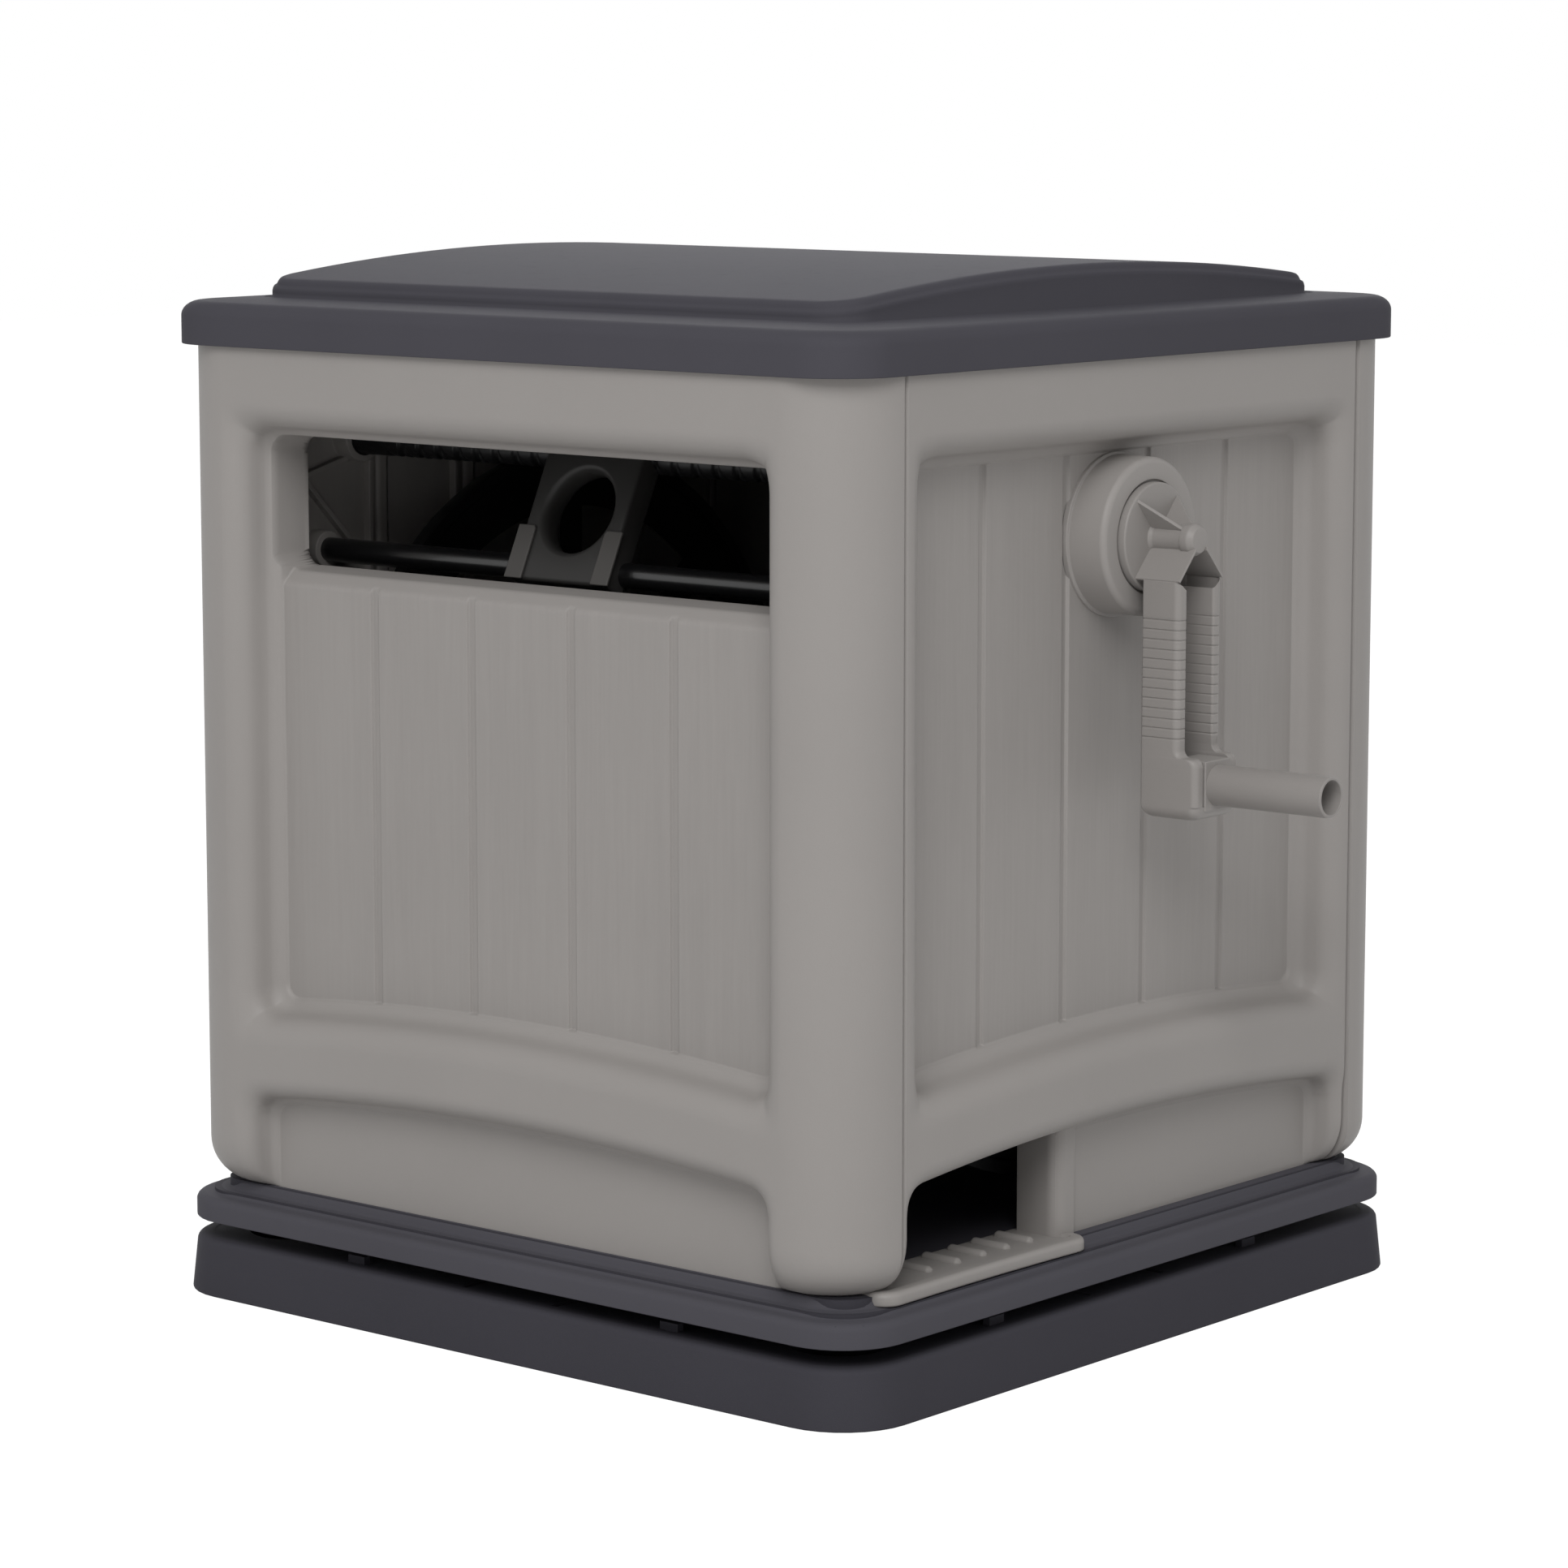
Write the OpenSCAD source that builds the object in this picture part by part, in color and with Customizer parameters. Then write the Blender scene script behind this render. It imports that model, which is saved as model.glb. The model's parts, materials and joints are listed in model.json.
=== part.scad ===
// Hose reel box: a geared hose reel in a panelled case that swivels on a ground plate.
// +X is the crank side, -Y the front with the hose window and +Z up.
// The origin is the middle of the ground plate's underside.

/* [Reel] */
// Radius of the reel's flanges
flange_r = 215; // [190:1:235]
// Thickness of a flange plate
flange_t = 4; // [3:0.5:6]
// Width for the hose between the flanges
hose_room_w = 394; // [340:1:440]
// Outer radius of the drum
drum_r = 85; // [75:1:95]
// Wall of the drum
drum_wall = 4; // [3:0.5:6]
// Radius of the flange's middle disc
hub_disc_r = 112; // [100:1:125]
// Width of the flange's outer ring
rim_w = 40; // [30:1:50]
// Width of a flange spoke
spoke_w = 22; // [16:1:30]
// Spokes in a flange
spoke_count = 8; // [6:1:10]
// Room under the flanges, above the turntable
floor_room = 25; // [20:1:40]
// Room behind the flanges
back_room = 28.3; // [22:0.1:45]
// Distance of the reel's axis behind the middle of the case
reel_y = 7; // [0:1:15]
// Radius of the reel's right-hand journal
reel_journal_r = 15; // [12:0.5:18]

/* [Gears] */
// Module of the drive gears
drive_module = 4; // [3.6:0.1:4.4]
// Teeth of the drive pinion on the crank shaft
pinion_teeth = 30; // [26:1:32]
// Teeth of the ring gear on the reel
ring_teeth = 62; // [58:1:66]
// Face width of the drive pinion
drive_face = 11; // [8:0.5:12]
// Module of the level-wind gears
wind_module = 3; // [2.8:0.1:3.2]
// Teeth of the level-wind pinion on the crank shaft
wind_pinion_teeth = 14; // [14:1:18]
// Teeth of the idler gear
idler_teeth = 40; // [38:1:44]
// Teeth of the gear on the level-wind screw
screw_teeth = 30; // [28:1:34]
// Face width of the level-wind gears
wind_face = 9; // [6:0.5:9.5]
// Play on each tooth flank
gear_backlash = 0.35; // [0.2:0.05:0.5]
// Room for the gears between the right flange and the case wall
gear_room = 43.8; // [42:0.1:60]

/* [Level wind] */
// Radius of the guide rod
rod_r = 7.75; // [6:0.25:9]
// Radius of the level-wind screw
screw_r = 11; // [9:0.5:13]
// Radius of the screw's end journals
journal_r = 8; // [6:0.5:8.5]
// Distance from the flange's edge to the rod's axis
rod_room = 32.3; // [28:0.1:38]
// Distance from the flange's edge to the screw's axis
screw_room = 62.1; // [57:0.1:67]
// Width of the hose guide
guide_w = 85; // [75:1:100]
// Bore of the guide's eye, as a radius
eye_r = 21; // [16:0.5:21.5]
// Radius of the eye's mouth
eye_mouth_r = 31; // [26:1:33]
// Place of the hose guide along the rod
guide_x = -17; // [-60:1:60]

/* [Case] */
// Wall thickness of the panels
wall = 3.2; // [2.6:0.1:3.8]
// Radius of the corner posts
post_r = 51; // [40:1:56]
// Radius under the feet of the posts
foot_r = 26; // [18:1:30]
// Depth of the recess in each face
recess_depth = 28; // [20:1:34]
// Radius of the recess's soft edge
edge_r = 18; // [10:1:20]
// Side draft of the recess below its soft edge
edge_draft = 9; // [4:1:12]
// Width from the side of the case to the floor of the front recess
post_face_w = 75; // [68:1:90]
// Width from the front of the case to the floor of a side recess
side_face_w = 83.5; // [82:0.5:95]
// Height of the recess floor's lower edge above the turntable, at its ends
recess_low = 121.7; // [110:0.1:135]
// Rise of the arch under the recess
recess_rise = 10.3; // [4:0.1:16]
// Height of the apron between the feet, at its ends
apron_h = 55; // [45:1:65]
// Rise of the apron's arch
apron_rise = 8; // [4:0.5:12]
// Depth of the apron behind the face
apron_depth = 22; // [15:1:26]
// Plank grooves in each recess
groove_count = 4; // [2:1:6]
// Spacing of the plank grooves
groove_pitch = 81.5; // [50:0.5:95]
// Width of a plank groove
groove_w = 5; // [3:0.5:7]
// Depth of a plank groove
groove_depth = 1.2; // [0.6:0.1:1.6]
// Width of the hose window
window_w = 360; // [300:1:380]
// Height of the hose window
window_h = 76; // [60:1:84]
// Height of the case's top rail above the window
top_rail = 74; // [70:1:90]
// Width of the leader hose outlet in the right side
outlet_w = 155; // [120:1:160]

/* [Lid] */
// Thickness of the lid's skirt
skirt_t = 2.5; // [2:0.1:3]
// Gap between the case and the skirt
lid_gap = 1.5; // [1:0.1:2.5]
// How far the skirt hangs over the case
skirt_lap = 11.7; // [8:0.1:16]
// Corner radius of the lid
lid_r = 40; // [34:1:50]
// Height of the lid's ledge above the skirt's lower edge
ledge_h = 26.7; // [24:0.1:34]
// Width of the ledge around the crown
ledge_w = 41; // [30:1:55]
// Height of the crown's edge above the ledge
crown_edge_h = 12.5; // [8:0.1:18]
// Rise of the crown's arch
crown_rise = 15.5; // [8:0.1:22]

/* [Crank] */
// Radius of the boss that the crank turns in front of
boss_r = 48.5; // [40:0.5:52]
// Height of that boss
boss_h = 23; // [16:1:30]
// Radius of the crank shaft
shaft_r = 10; // [8:0.5:11]
// Radius of the crank's hub disc
disc_r = 32; // [28:1:38]
// Distance from the crank shaft to the handle's pivot
crank_throw = 146; // [135:1:160]
// Outer width of the arm's channel
arm_w = 44; // [40:0.5:50]
// Depth of the arm's channel
arm_depth = 27; // [24:1:32]
// Outer radius of the handle
handle_r = 12.5; // [10:0.5:12.5]
// Length of the handle from its pivot
handle_l = 104.5; // [85:0.5:110]

/* [Base] */
// Height of the ground plate
base_h = 35.7; // [28:0.1:45]
// Corner radius of the ground plate
base_r = 46; // [38:1:60]
// Gap between the ground plate and the turntable
swivel_gap = 11.8; // [9:0.1:16]
// Height of the turntable
turntable_h = 24.5; // [22:0.5:30]
// Wall thickness of the ground plate and the turntable
base_wall = 4; // [3:0.5:5]
// Radius of the swivel post
swivel_r = 40; // [32:1:46]
// Spacing of the ground anchor holes
anchor_pitch = 452; // [430:1:456]
// Radius of an anchor hole
anchor_hole_r = 4; // [3:0.5:5]

/* [Hidden] */
$fn = 96;

// Colours
taupe = [0.57, 0.555, 0.54];
slate = [0.27, 0.268, 0.295];
black = [0.06, 0.06, 0.065];
steel = [0.6, 0.6, 0.62];
brass = [0.72, 0.58, 0.32];
rubber = [0.05, 0.05, 0.05];

// Clearances and overruns
overrun = 1;
run_fit = 0.05;
seat_fit = 0.05;
rest_gap = 0.3;
corner_steps = 8;
edge_steps = 3;

// Heights, from the ground up
turntable_z = base_h + swivel_gap;
case_z = turntable_z + turntable_h;
reel_z = case_z + floor_room + flange_r;
reel = [reel_y, reel_z];
crank = [reel_y, reel_z + drive_module * (pinion_teeth + ring_teeth) / 2];
pinion_reach = wind_module * (wind_pinion_teeth + idler_teeth) / 2;
idler_reach = wind_module * (idler_teeth + screw_teeth) / 2;
idler_bend = 122.1;
screw_reach = sqrt(pow(pinion_reach, 2) + pow(idler_reach, 2)
    - 2 * pinion_reach * idler_reach * cos(idler_bend));
guide_reach = 77.2;
screw = front_meet(reel, crank, flange_r + screw_room, screw_reach);
rod = front_meet(reel, screw, flange_r + rod_room, guide_reach);
sill_rise = -4.25;
window_z = rod[1] + sill_rise;
window_top = window_z + window_h;
window_head = 2;
case_top = window_top + top_rail;
case_h = case_top - case_z;
window_r = 12;

// Places along X, from the reel out to the crank
flange_x = hose_room_w / 2 + flange_t;
wall_in = flange_x + gear_room;
floor_x = wall_in + wall;
case_w = 2 * (floor_x + recess_depth);
gear_stand = 5;
gear_space = 3;
drive_x = flange_x + gear_stand;
wind_x = drive_x + drive_face + gear_space;
bush_gap = 2;
bush_x = wind_x + wind_face + bush_gap;
boss_x = floor_x + boss_h;
hub_gap = 2;
disc_x = boss_x + hub_gap;
disc_t = 6.5;
arm_gap = 6.5;
arm_x = disc_x + disc_t + arm_gap;
arm_back = 3.5;
arm_wall = 8.5;
pivot_set = 14;
pivot_x = arm_x + arm_back + pivot_set;

// Places along Y
case_d = 2 * (reel_y + flange_r + back_room + wall + recess_depth);
floor_y = case_d / 2 - recess_depth;
seam_in = 1;
seam_y = case_d / 2 - post_r - seam_in;
seam_gap = 0.6;

// Recess outlines
recess_top = window_top + window_head;
front_half = case_w / 2 - post_face_w;
side_half = case_d / 2 - side_face_w;
apron_r = 14;
apron_draft = 6;
apron_post_w = 71;
apron_below = 40;
arch_steps = 12;

// Level-wind gears
idler = front_meet(crank, screw, pinion_reach, idler_reach);
pinion_phase = mesh_phase(90, 0, ring_teeth, pinion_teeth);
idler_phase = mesh_phase(bearing(crank, idler), 0, wind_pinion_teeth, idler_teeth);
screw_phase = mesh_phase(bearing(idler, screw), idler_phase, idler_teeth, screw_teeth);
pressure_angle = 20;
tip_share = 0.8;
root_share = 1.1;
bush_t = 4;
boss_t = 4;
idler_axle_r = 6;
clip_t = 1.5;
clip_w = 4;

// Turntable and ground plate
turntable_over = 1.5;
base_over = 3.25;
turntable_w = max(case_w, case_d) + 2 * turntable_over;
base_w = turntable_w + 2 * base_over;
base_draft = 3.25;
base_edge = 4;
turntable_r = 43;
turntable_edge = 3.5;
rim_h = 14.5;
step_in = 11;
step_h = 3.5;
plateau_in = 21;
rib_count = 9;
rib_t = 2;
cup_r = 30;
slot_l = 24;
slot_w = 5;
slot_pitch = 75;
slot_in = 18;
snap_pitch = 260;
snap_w = 14;
snap_h = 5;
glide_r = 225;
glide_w = 25;
post_wall = 10;
hub_wall = 15;
cap_over = 20;
cap_t = 4;
cap_screw_count = 3;
screw_shank_r = 2.5;
screw_head_r = 5;
screw_head_h = 3;
screw_l = 14;
screw_slack = 0.1;

// Foot tread at the hose outlet
tread_t = 5;
tread_over = 9;
tread_lip = 10;
tread_lip_h = 2;
tread_depth = 58;
tread_side = 15;
tread_leg_gap = 4;
tread_rib_count = 5;
tread_rib_w = 5;
tread_rib_h = 3;
tread_rib_pitch = 23.5;
tread_rib_l = 40;
outlet_side = 60;
return_depth = 27;
apron_top_keep = 4;

// Lid and hinge
lid_w = case_w + 2 * (lid_gap + skirt_t);
lid_d = case_d + 2 * (lid_gap + skirt_t);
lid_z = case_top - skirt_lap;
lid_t = 3;
lid_edge = 12;
lid_rest_w = 9;
crown_w = lid_w - 2 * ledge_w;
front_ledge_w = 47.5;
crown_d = lid_d - 2 * front_ledge_w;
crown_r = 22;
ledge_z = lid_z + ledge_h;
crown_z = ledge_z + crown_edge_h;
crown_arc_r = (pow(crown_d / 2, 2) + pow(crown_rise, 2)) / (2 * crown_rise);
hinge_r = 6;
hinge_pin_r = 3;
hinge_pitch = 300;
hinge_ear_l = 40;
hinge_ear_gap = 1;
hinge_knuckle_l = 14;
hinge_leaf_t = 3;
hinge_leaf_h = 40;
hinge_drop = 3.3;
hinge_back = 7.5;
hinge_y = lid_d / 2 + hinge_back;
hinge_z = lid_z - hinge_drop;
hinge_tab = 10;
hinge_leaf_gap = 2;

// Water fittings
tube_r = 18;
tube_bore_r = 11;
stub_r = 13.3;
stub_bore_r = 9.5;
stub_l = 57;
hub_wall_t = 12;
hub_l = 45;
hub_out = 5;
elbow_flange_r = 36;
elbow_flange_t = 5;
inlet_boss_t = 5;
elbow_screw_r = 29;
elbow_screw_count = 4;
seal_r = 1.3;
seal_pitch = 8;
seal_in = 12;
chamber_wall = 4;
chamber_l = 32;
outlet_tube_r = 12;
outlet_stub_h = 22;
outlet_collar_r = 18;
outlet_collar_h = 4;
bolt_r = 3;
bolt_head_r = 6;
bolt_head_h = 4;
bolt_count = 4;
bolt_ring_r = 60;

// Crank arm and handle
spindle_r = 8.5;
nose_r = 6;
nose_l = 3;
fin_t = 4;
fin_angle = 41;
square_w = 12;
square_l = 4;
roof_y = 7.6;
roof_eave_y = 22;
roof_z = -9;
roof_eave_z = -26;
roof_t = 4;
link_w = 20;
boot_w = 44;
boot_up = 20;
boot_down = 23;
boot_over = 17;
boot_wall = 6.5;
boot_floor = 9.8;
handle_slack = 0.5;
handle_bore_r = 10;
handle_bore_l = 86;
handle_pin_r = 3;
grip_count = 13;
grip_pitch = 6.4;
grip_h = 0.6;
grip_w = 3.5;
grip_top = -55;

// Hose guide
lean = atan2(screw[0] - rod[0], screw[1] - rod[1]);
lean_l = norm(screw - rod);
guide_front = 16;
guide_rear = 12;
guide_under = 13;
guide_brow = 22;
tower_w = 60;
sleeve_wall = 6;
eye_wall = 3;
eye_front = 21;
funnel_l = 13;
clip_strip_w = 14;
clip_strip_t = 2;
screw_play = 0.4;
screw_end_gap = 1;
follower_r = 6;
follower_l = 12;
follower_cap_r = 8;
follower_cap_t = 4;
rod_seat = 13;

// Gear geometry
function involute(a) = tan(a) * 180 / PI - a;

// Half the angle that a tooth spans at radius r
function tooth_half(r, teeth, m) =
    let (pitch = m * teeth / 2, base = pitch * cos(pressure_angle))
    90 / teeth - gear_backlash / pitch * 180 / PI
        + involute(pressure_angle) - involute(acos(min(1, base / r)));

// Outline of a gear with its first tooth on the X axis
function gear_outline(teeth, m) =
    let (pitch = m * teeth / 2, flank = [pitch - root_share * m, pitch, pitch + tip_share * m])
    [for (i = [0 : teeth - 1], side = [-1, 1], k = [0 : len(flank) - 1])
        let (r = side < 0 ? flank[k] : flank[len(flank) - 1 - k],
            a = 360 / teeth * i + side * tooth_half(r, teeth, m))
        r * [cos(a), sin(a)]];

// Direction from one axis to another, both given as [y, z]
function bearing(from, to) = atan2(to[1] - from[1], to[0] - from[0]);

// Phase that puts a gap of gear b on a tooth of gear a
function mesh_phase(direction, phase, teeth_a, teeth_b) =
    direction + 180 + (direction - phase) * teeth_a / teeth_b - 180 / teeth_b;

// The point at distance ra from a and rb from b, on the left of the way from a to b
function front_meet(a, b, ra, rb) =
    let (d = norm(b - a), u = (b - a) / d, along = (d * d + ra * ra - rb * rb) / (2 * d))
    a + along * u + sqrt(ra * ra - along * along) * [-u[1], u[0]];

// Shared shapes
module rounded_rect(w, d, r) {
    square([w - 2 * r, d], center = true);
    square([w, d - 2 * r], center = true);
    for (x = [-1, 1], y = [-1, 1])
        translate([x * (w / 2 - r), y * (d / 2 - r)])
            circle(r);
}

module slab(w, d, r, z0, z1) {
    translate([0, 0, z0])
        linear_extrude(z1 - z0)
            rounded_rect(w, d, r);
}

// Points of a rounded rectangle at height z, counter-clockwise
function rounded_ring(w, d, r, z) = [
    for (q = [0 : 3], i = [0 : corner_steps])
        let (a = 90 * (q + i / corner_steps), side_x = q == 0 || q == 3 ? 1 : -1, side_y = q < 2 ? 1 : -1)
        [side_x * (w / 2 - r) + r * cos(a), side_y * (d / 2 - r) + r * sin(a), z]];

// Mean of a list of points
function middle(points) = [for (p = points) 1] * points / len(points);

// A solid through a list of rings that lie one above the other, with as many points in each
module ring_stack(rings) {
    n = len(rings[0]);
    top = (len(rings) - 1) * n;
    cap = len(rings) * n;
    polyhedron(
        points = concat([for (ring = rings, p = ring) p], [middle(rings[0]), middle(rings[len(rings) - 1])]),
        faces = [
            for (j = [0 : n - 1])
                let (next = (j + 1) % n)
                each concat(
                    [[j, next, cap], [top + next, top + j, cap + 1]],
                    [for (i = [0 : n : top - n]) [i + j, i + n + j, i + n + next]],
                    [for (i = [0 : n : top - n]) [i + j, i + n + next, i + next]])
        ]);
}

// A block with a round under its lower edge
module soft_foot(w, d, r, z0, z1, e) {
    ring_stack(concat(
        [for (a = [0 : 90 / edge_steps : 90])
            let (in = e * (1 - sin(a)))
            rounded_ring(w - 2 * in, d - 2 * in, r - in, z0 + e * (1 - cos(a)))],
        [rounded_ring(w, d, r, z1)]));
}

// A block with a drafted side and a round along its upper edge
module soft_top(w, d, r, z0, z1, e, draft) {
    ring_stack(concat(
        [rounded_ring(w, d, r, z0)],
        [for (a = [90 : -90 / edge_steps : 0])
            let (in = draft + e * (1 - sin(a)))
            rounded_ring(w - 2 * in, d - 2 * in, r - in, z1 - e * (1 - cos(a)))]));
}

module rod_x(r, x0, x1, at) {
    translate([x0, at[0], at[1]])
        rotate([0, 90, 0])
            cylinder(r = r, h = x1 - x0);
}

module tube_x(r, bore, x0, x1, at) {
    difference() {
        rod_x(r, x0, x1, at);
        rod_x(bore, x0 - overrun, x1 + overrun, at);
    }
}

module tube_z(r, bore, z0, z1) {
    translate([0, 0, z0])
        linear_extrude(z1 - z0)
            difference() {
                circle(r);
                circle(bore);
            }
}

// A disc-shaped outline lying across X, drawn in [y, z]
module across_x(x0, x1, at) {
    translate([x0, at[0], at[1]])
        rotate([90, 0, 90])
            linear_extrude(x1 - x0)
                children();
}

module spur_gear(teeth, m, bore, x0, x1, at, phase) {
    across_x(x0, x1, at)
        difference() {
            rotate(phase)
                polygon(gear_outline(teeth, m));
            circle(bore);
        }
}

module machine_screw(l) {
    cylinder(r = screw_shank_r, h = l);
    translate([0, 0, l])
        cylinder(r = screw_head_r, h = screw_head_h);
}

// Ribs that stiffen a hollow plate from below
module rib_grid(w, z0, z1) {
    cell = w / rib_count;
    for (i = [1 : rib_count - 1])
        let (at = -w / 2 + i * cell) {
            translate([at - rib_t / 2, -w / 2, z0])
                cube([rib_t, w, z1 - z0]);
            translate([-w / 2, at - rib_t / 2, z0])
                cube([w, rib_t, z1 - z0]);
        }
}

module at_corners(pitch) {
    for (x = [-1, 1], y = [-1, 1])
        translate([x * pitch / 2, y * pitch / 2, 0])
            children();
}

module on_four_sides() {
    for (a = [0 : 90 : 270])
        rotate(a)
            children();
}

// Ground plate and swivel
module base_plate() {
    deck_z = base_h - base_wall;
    inner = base_w - 2 * (base_wall + base_draft);
    cap_z = case_z + rest_gap;
    color(slate)
    difference() {
        union() {
            difference() {
                soft_top(base_w, base_w, base_r, 0, base_h, base_edge, base_draft);
                slab(inner, inner, base_r - base_wall - base_draft, -overrun, deck_z);
            }
            intersection() {
                rib_grid(inner, 0, deck_z + overrun);
                slab(inner + base_wall, inner + base_wall, base_r - base_wall - base_draft, 0,
                    deck_z + overrun);
            }
            at_corners(anchor_pitch)
                cylinder(r = cup_r + base_wall, h = deck_z + overrun);
            cylinder(r = swivel_r, h = cap_z);
            on_four_sides()
                for (x = [-1, 1])
                    translate([x * snap_pitch / 2 - snap_w / 2, -base_w / 2 + slot_in, deck_z])
                        cube([snap_w, snap_h, base_wall + snap_h]);
        }
        at_corners(anchor_pitch) {
            translate([0, 0, base_wall])
                cylinder(r = cup_r, h = base_h);
            translate([0, 0, -overrun])
                cylinder(r = anchor_hole_r, h = base_h);
        }
        on_four_sides()
            for (x = [-1, 1])
                translate([x * slot_pitch / 2 - slot_w / 2, -base_w / 2 + slot_in, deck_z - overrun])
                    cube([slot_w, slot_l, base_h]);
        translate([0, 0, base_wall])
            cylinder(r = swivel_r - post_wall, h = cap_z);
        cap_screw_places()
            translate([0, 0, cap_z - screw_l])
                cylinder(r = screw_shank_r + screw_slack, h = screw_l + overrun);
    }
}

module cap_screw_places() {
    for (i = [0 : cap_screw_count - 1])
        rotate(360 / cap_screw_count * i)
            translate([swivel_r - post_wall / 2, 0, 0])
                children();
}

module swivel_glide() {
    color(black)
    tube_z(glide_r, glide_r - glide_w, base_h, turntable_z - rest_gap);
}

module swivel_cap() {
    cap_z = case_z + rest_gap;
    color(slate)
    difference() {
        tube_z(swivel_r + cap_over, swivel_r - post_wall, cap_z, cap_z + cap_t);
        cap_screw_places()
            translate([0, 0, cap_z - overrun])
                cylinder(r = screw_shank_r + screw_slack, h = cap_t + 2 * overrun);
    }
}

module cap_screws() {
    color(steel)
    cap_screw_places()
        translate([0, 0, case_z + rest_gap + cap_t - screw_l])
            machine_screw(screw_l);
}

module turntable() {
    rim_z = turntable_z + rim_h;
    step_z = rim_z + step_h;
    plate_z = case_z - base_wall;
    inner = turntable_w - 2 * (plateau_in + base_wall);
    color(slate)
    difference() {
        union() {
            difference() {
                union() {
                    soft_top(turntable_w, turntable_w, turntable_r, turntable_z, rim_z, turntable_edge, 0);
                    slab(turntable_w - 2 * step_in, turntable_w - 2 * step_in, turntable_r - step_in,
                        rim_z - overrun, step_z);
                    slab(turntable_w - 2 * plateau_in, turntable_w - 2 * plateau_in, turntable_r - plateau_in,
                        step_z - overrun, case_z);
                }
                slab(inner, inner, turntable_r - plateau_in, turntable_z - overrun, plate_z);
            }
            rib_grid(inner, turntable_z, plate_z + overrun);
            translate([0, 0, turntable_z])
                cylinder(r = swivel_r + hub_wall, h = turntable_h);
            tube_z(glide_r + base_wall, glide_r - glide_w - base_wall, turntable_z, turntable_z + base_wall);
        }
        translate([0, 0, turntable_z - overrun])
            cylinder(r = swivel_r + run_fit, h = turntable_h + 2 * overrun);
        panel_screw_places()
            translate([0, 0, case_z + wall - panel_screw_l - overrun])
                cylinder(r = screw_shank_r + screw_slack, h = panel_screw_l);
    }
}

// Case panels
// Outline of a recess with arched lower and upper edges, at height z
function arch_ring(half, high, low_rise, top_rise, z) = [
    for (side = [-1, 1], i = [0 : arch_steps])
        let (t = 1 - 2 * i / arch_steps)
        [side * half * t, side * high + (side < 0 ? low_rise : top_rise) * (1 - t * t), z]];

// A recess with a soft edge, going down from the face at height zero
module recess_shape(half, low, top, low_rise, top_rise, depth, r, draft, skin) {
    high = (top - low) / 2;
    levels = concat(
        [[-overrun, draft + r]],
        [for (a = [0 : 90 / edge_steps : 90]) [r * (1 - cos(a)) + skin, draft + r * (1 - sin(a))]],
        [[depth + skin, 0]]);
    translate([0, (top + low) / 2, 0])
        ring_stack([for (l = levels)
            arch_ring(half + l[1] + skin, high + l[1] + skin, low_rise, top_rise, l[0])]);
}

// Puts a shape drawn on the front face, with its depth along +Y, at the front of the case
module on_face(out) {
    translate([0, -out, 0])
        rotate([90, 0, 0])
            mirror([0, 0, 1])
                children();
}

module face_recesses(out, half, apron_half, skin) {
    on_face(out) {
        recess_shape(half, case_z + recess_low, recess_top, recess_rise, 0, recess_depth,
            edge_r, edge_draft, skin);
        recess_shape(apron_half, case_z - apron_below, case_z + apron_h, 0, apron_rise, apron_depth,
            apron_r, apron_draft, skin);
    }
}

module face_grooves(out) {
    for (i = [0 : groove_count - 1])
        translate([(i - (groove_count - 1) / 2) * groove_pitch - groove_w / 2,
            -out + recess_depth - overrun, case_z + recess_low + recess_rise])
            cube([groove_w, groove_depth + overrun, recess_top - case_z - recess_low - recess_rise]);
}

// The case's outer block less a skin
module case_block(skin) {
    soft_foot(case_w - 2 * skin, case_d - 2 * skin, post_r - skin, case_z + skin, case_top + skin,
        foot_r - skin);
}

// Skin of one face of the case, with the face turned to the front
module face_skin(turn, out, half, apron_half) {
    difference() {
        rotate(turn)
            case_block(0);
        face_recesses(out, half, apron_half, 0);
        face_grooves(out);
        difference() {
            rotate(turn)
                case_block(wall);
            face_recesses(out, half, apron_half, wall);
        }
    }
}

module end_panel() {
    intersection() {
        face_skin(0, case_d / 2, front_half, case_w / 2 - apron_post_w);
        translate([-case_w, -case_d, case_z - overrun])
            cube([2 * case_w, case_d - seam_y, case_h + 2 * overrun]);
    }
}

// A side panel as the face that looks to -Y, before it is turned to its side
module side_panel_blank() {
    edge_x = seam_y - seam_gap;
    lap_y = -case_w / 2 + wall + seam_gap / 2;
    lap_z = case_z + foot_r;
    lap_h = case_h - foot_r - skirt_lap;
    intersection() {
        face_skin(90, case_w / 2, side_half, case_d / 2 - apron_post_w);
        translate([-edge_x, -case_w / 2 - overrun, case_z - overrun])
            cube([2 * edge_x, apron_depth + return_depth + overrun, case_h + 2 * overrun]);
    }
    for (side = [0, 1])
        mirror([side, 0, 0]) {
            translate([edge_x - wall, lap_y, lap_z])
                cube([2 * wall, wall, lap_h]);
            translate([edge_x - wall, lap_y - wall, lap_z])
                cube([wall, 2 * wall, lap_h]);
        }
}

module front_panel() {
    color(taupe)
    difference() {
        end_panel();
        translate([0, -floor_y - overrun, (window_z + window_top) / 2])
            rotate([-90, 0, 0])
                linear_extrude(wall + 2 * overrun)
                    rounded_rect(window_w, window_h, window_r);
        panel_screw_holes();
    }
}

module back_panel() {
    color(taupe)
    difference() {
        rotate(180)
            end_panel();
        panel_screw_holes();
        hinge_screw_places()
            rotate([90, 0, 0])
                translate([0, 0, -overrun])
                    cylinder(r = screw_shank_r + screw_slack, h = wall + 2 * overrun);
    }
}

// Screws that hold the panels down on the turntable
panel_screw_in = 38;
panel_screw_x = 120;
panel_screw_l = 10;

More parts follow.
